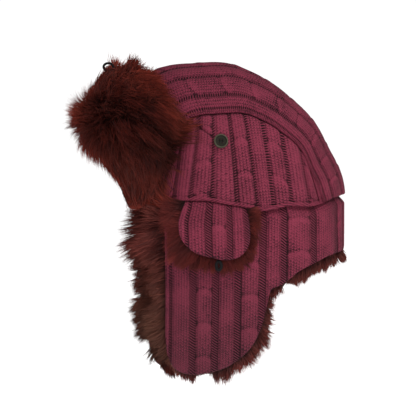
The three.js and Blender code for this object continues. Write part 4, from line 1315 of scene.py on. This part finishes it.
# A painted highlight on the rim, painted shade in the groove and at the rim's outer edge.
stops = [(0.0, colour(18, 16, 11)), (0.62, colour(28, 26, 19)), (0.75, colour(4, 4, 3)),
         (0.86, colour(74, 70, 56)), (0.97, colour(56, 52, 42)), (1.0, colour(16, 14, 11))]
rings = horn.ramp(horn.shades()[0], stops)
horn.feed("Base Color", horn.mix(horn.noise(260.0, 3.0) * 0.5, rings, colour(26, 25, 18)))
horn.bump(horn.noise(900.0), 0.1 * MM, 0.4)

braid = Finish("black elastic", Roughness=0.85, Specular_IOR_Level=0.1)
weave = braid.node("ShaderNodeTexVoronoi", inputs={"Vector": braid.place(), "Scale": 1400.0})
braid.feed("Base Color", braid.mix(weave.clamped(), colour(24, 21, 22), colour(6, 5, 6)))
braid.bump(1 - weave, 0.3 * MM, 0.8)

for button in buttons:
    button.data.materials.append(horn.material)
for piece in threads + loops:
    piece.data.materials.append(braid.material)

# %% [markdown]
# ## Studio
#
# The picture is lit softly from the upper right over a white ground. The floor is plain and pale.

# %% Floor and light
FLOOR_RADIUS, FLOOR_HEIGHT = 14, -0.26
HAT_MIDDLE = Vector((0, -0.03, 0))
bm = bmesh.new()
bmesh.ops.create_circle(bm, segments=96, radius=FLOOR_RADIUS, cap_ends=True)
mesh = bpy.data.meshes.new("floor")
bm.to_mesh(mesh)
bm.free()
floor = bpy.data.objects.new("floor", mesh)
floor.location.z = FLOOR_HEIGHT
bpy.context.scene.collection.objects.link(floor)
ground = Finish("pale floor", Base_Color=(0.9, 0.9, 0.9, 1), Roughness=1.0, Emission_Color=(1, 1, 1, 1),
                Emission_Strength=0.8)
mesh.materials.append(ground.material)

world = bpy.data.worlds.new("studio")
world.use_nodes = True
nodes, links = world.node_tree.nodes, world.node_tree.links
rays = nodes.new("ShaderNodeLightPath")
strength = nodes.new("ShaderNodeMapRange")
strength.inputs["To Min"].default_value = 0.4
strength.inputs["To Max"].default_value = 1.05
links.new(rays.outputs["Is Camera Ray"], strength.inputs["Value"])
nodes["Background"].inputs["Color"].default_value = (1, 1, 1, 1)
links.new(strength.outputs["Result"], nodes["Background"].inputs["Strength"])
bpy.context.scene.world = world
bpy.context.scene.view_settings.view_transform = "Standard"


def softbox(name, place, power, size):
    """A square soft light that faces the hat."""
    lamp = bpy.data.lights.new(name, "AREA")
    lamp.energy, lamp.size = power, size
    item = bpy.data.objects.new(name, lamp)
    item.location = place
    item.rotation_euler = (HAT_MIDDLE - Vector(place)).to_track_quat("-Z", "Y").to_euler()
    bpy.context.scene.collection.objects.link(item)


softbox("key", (1.3, 1.1, 1.7), 44, 0.9)
softbox("fill", (2.2, -0.6, 0.5), 26, 1.2)
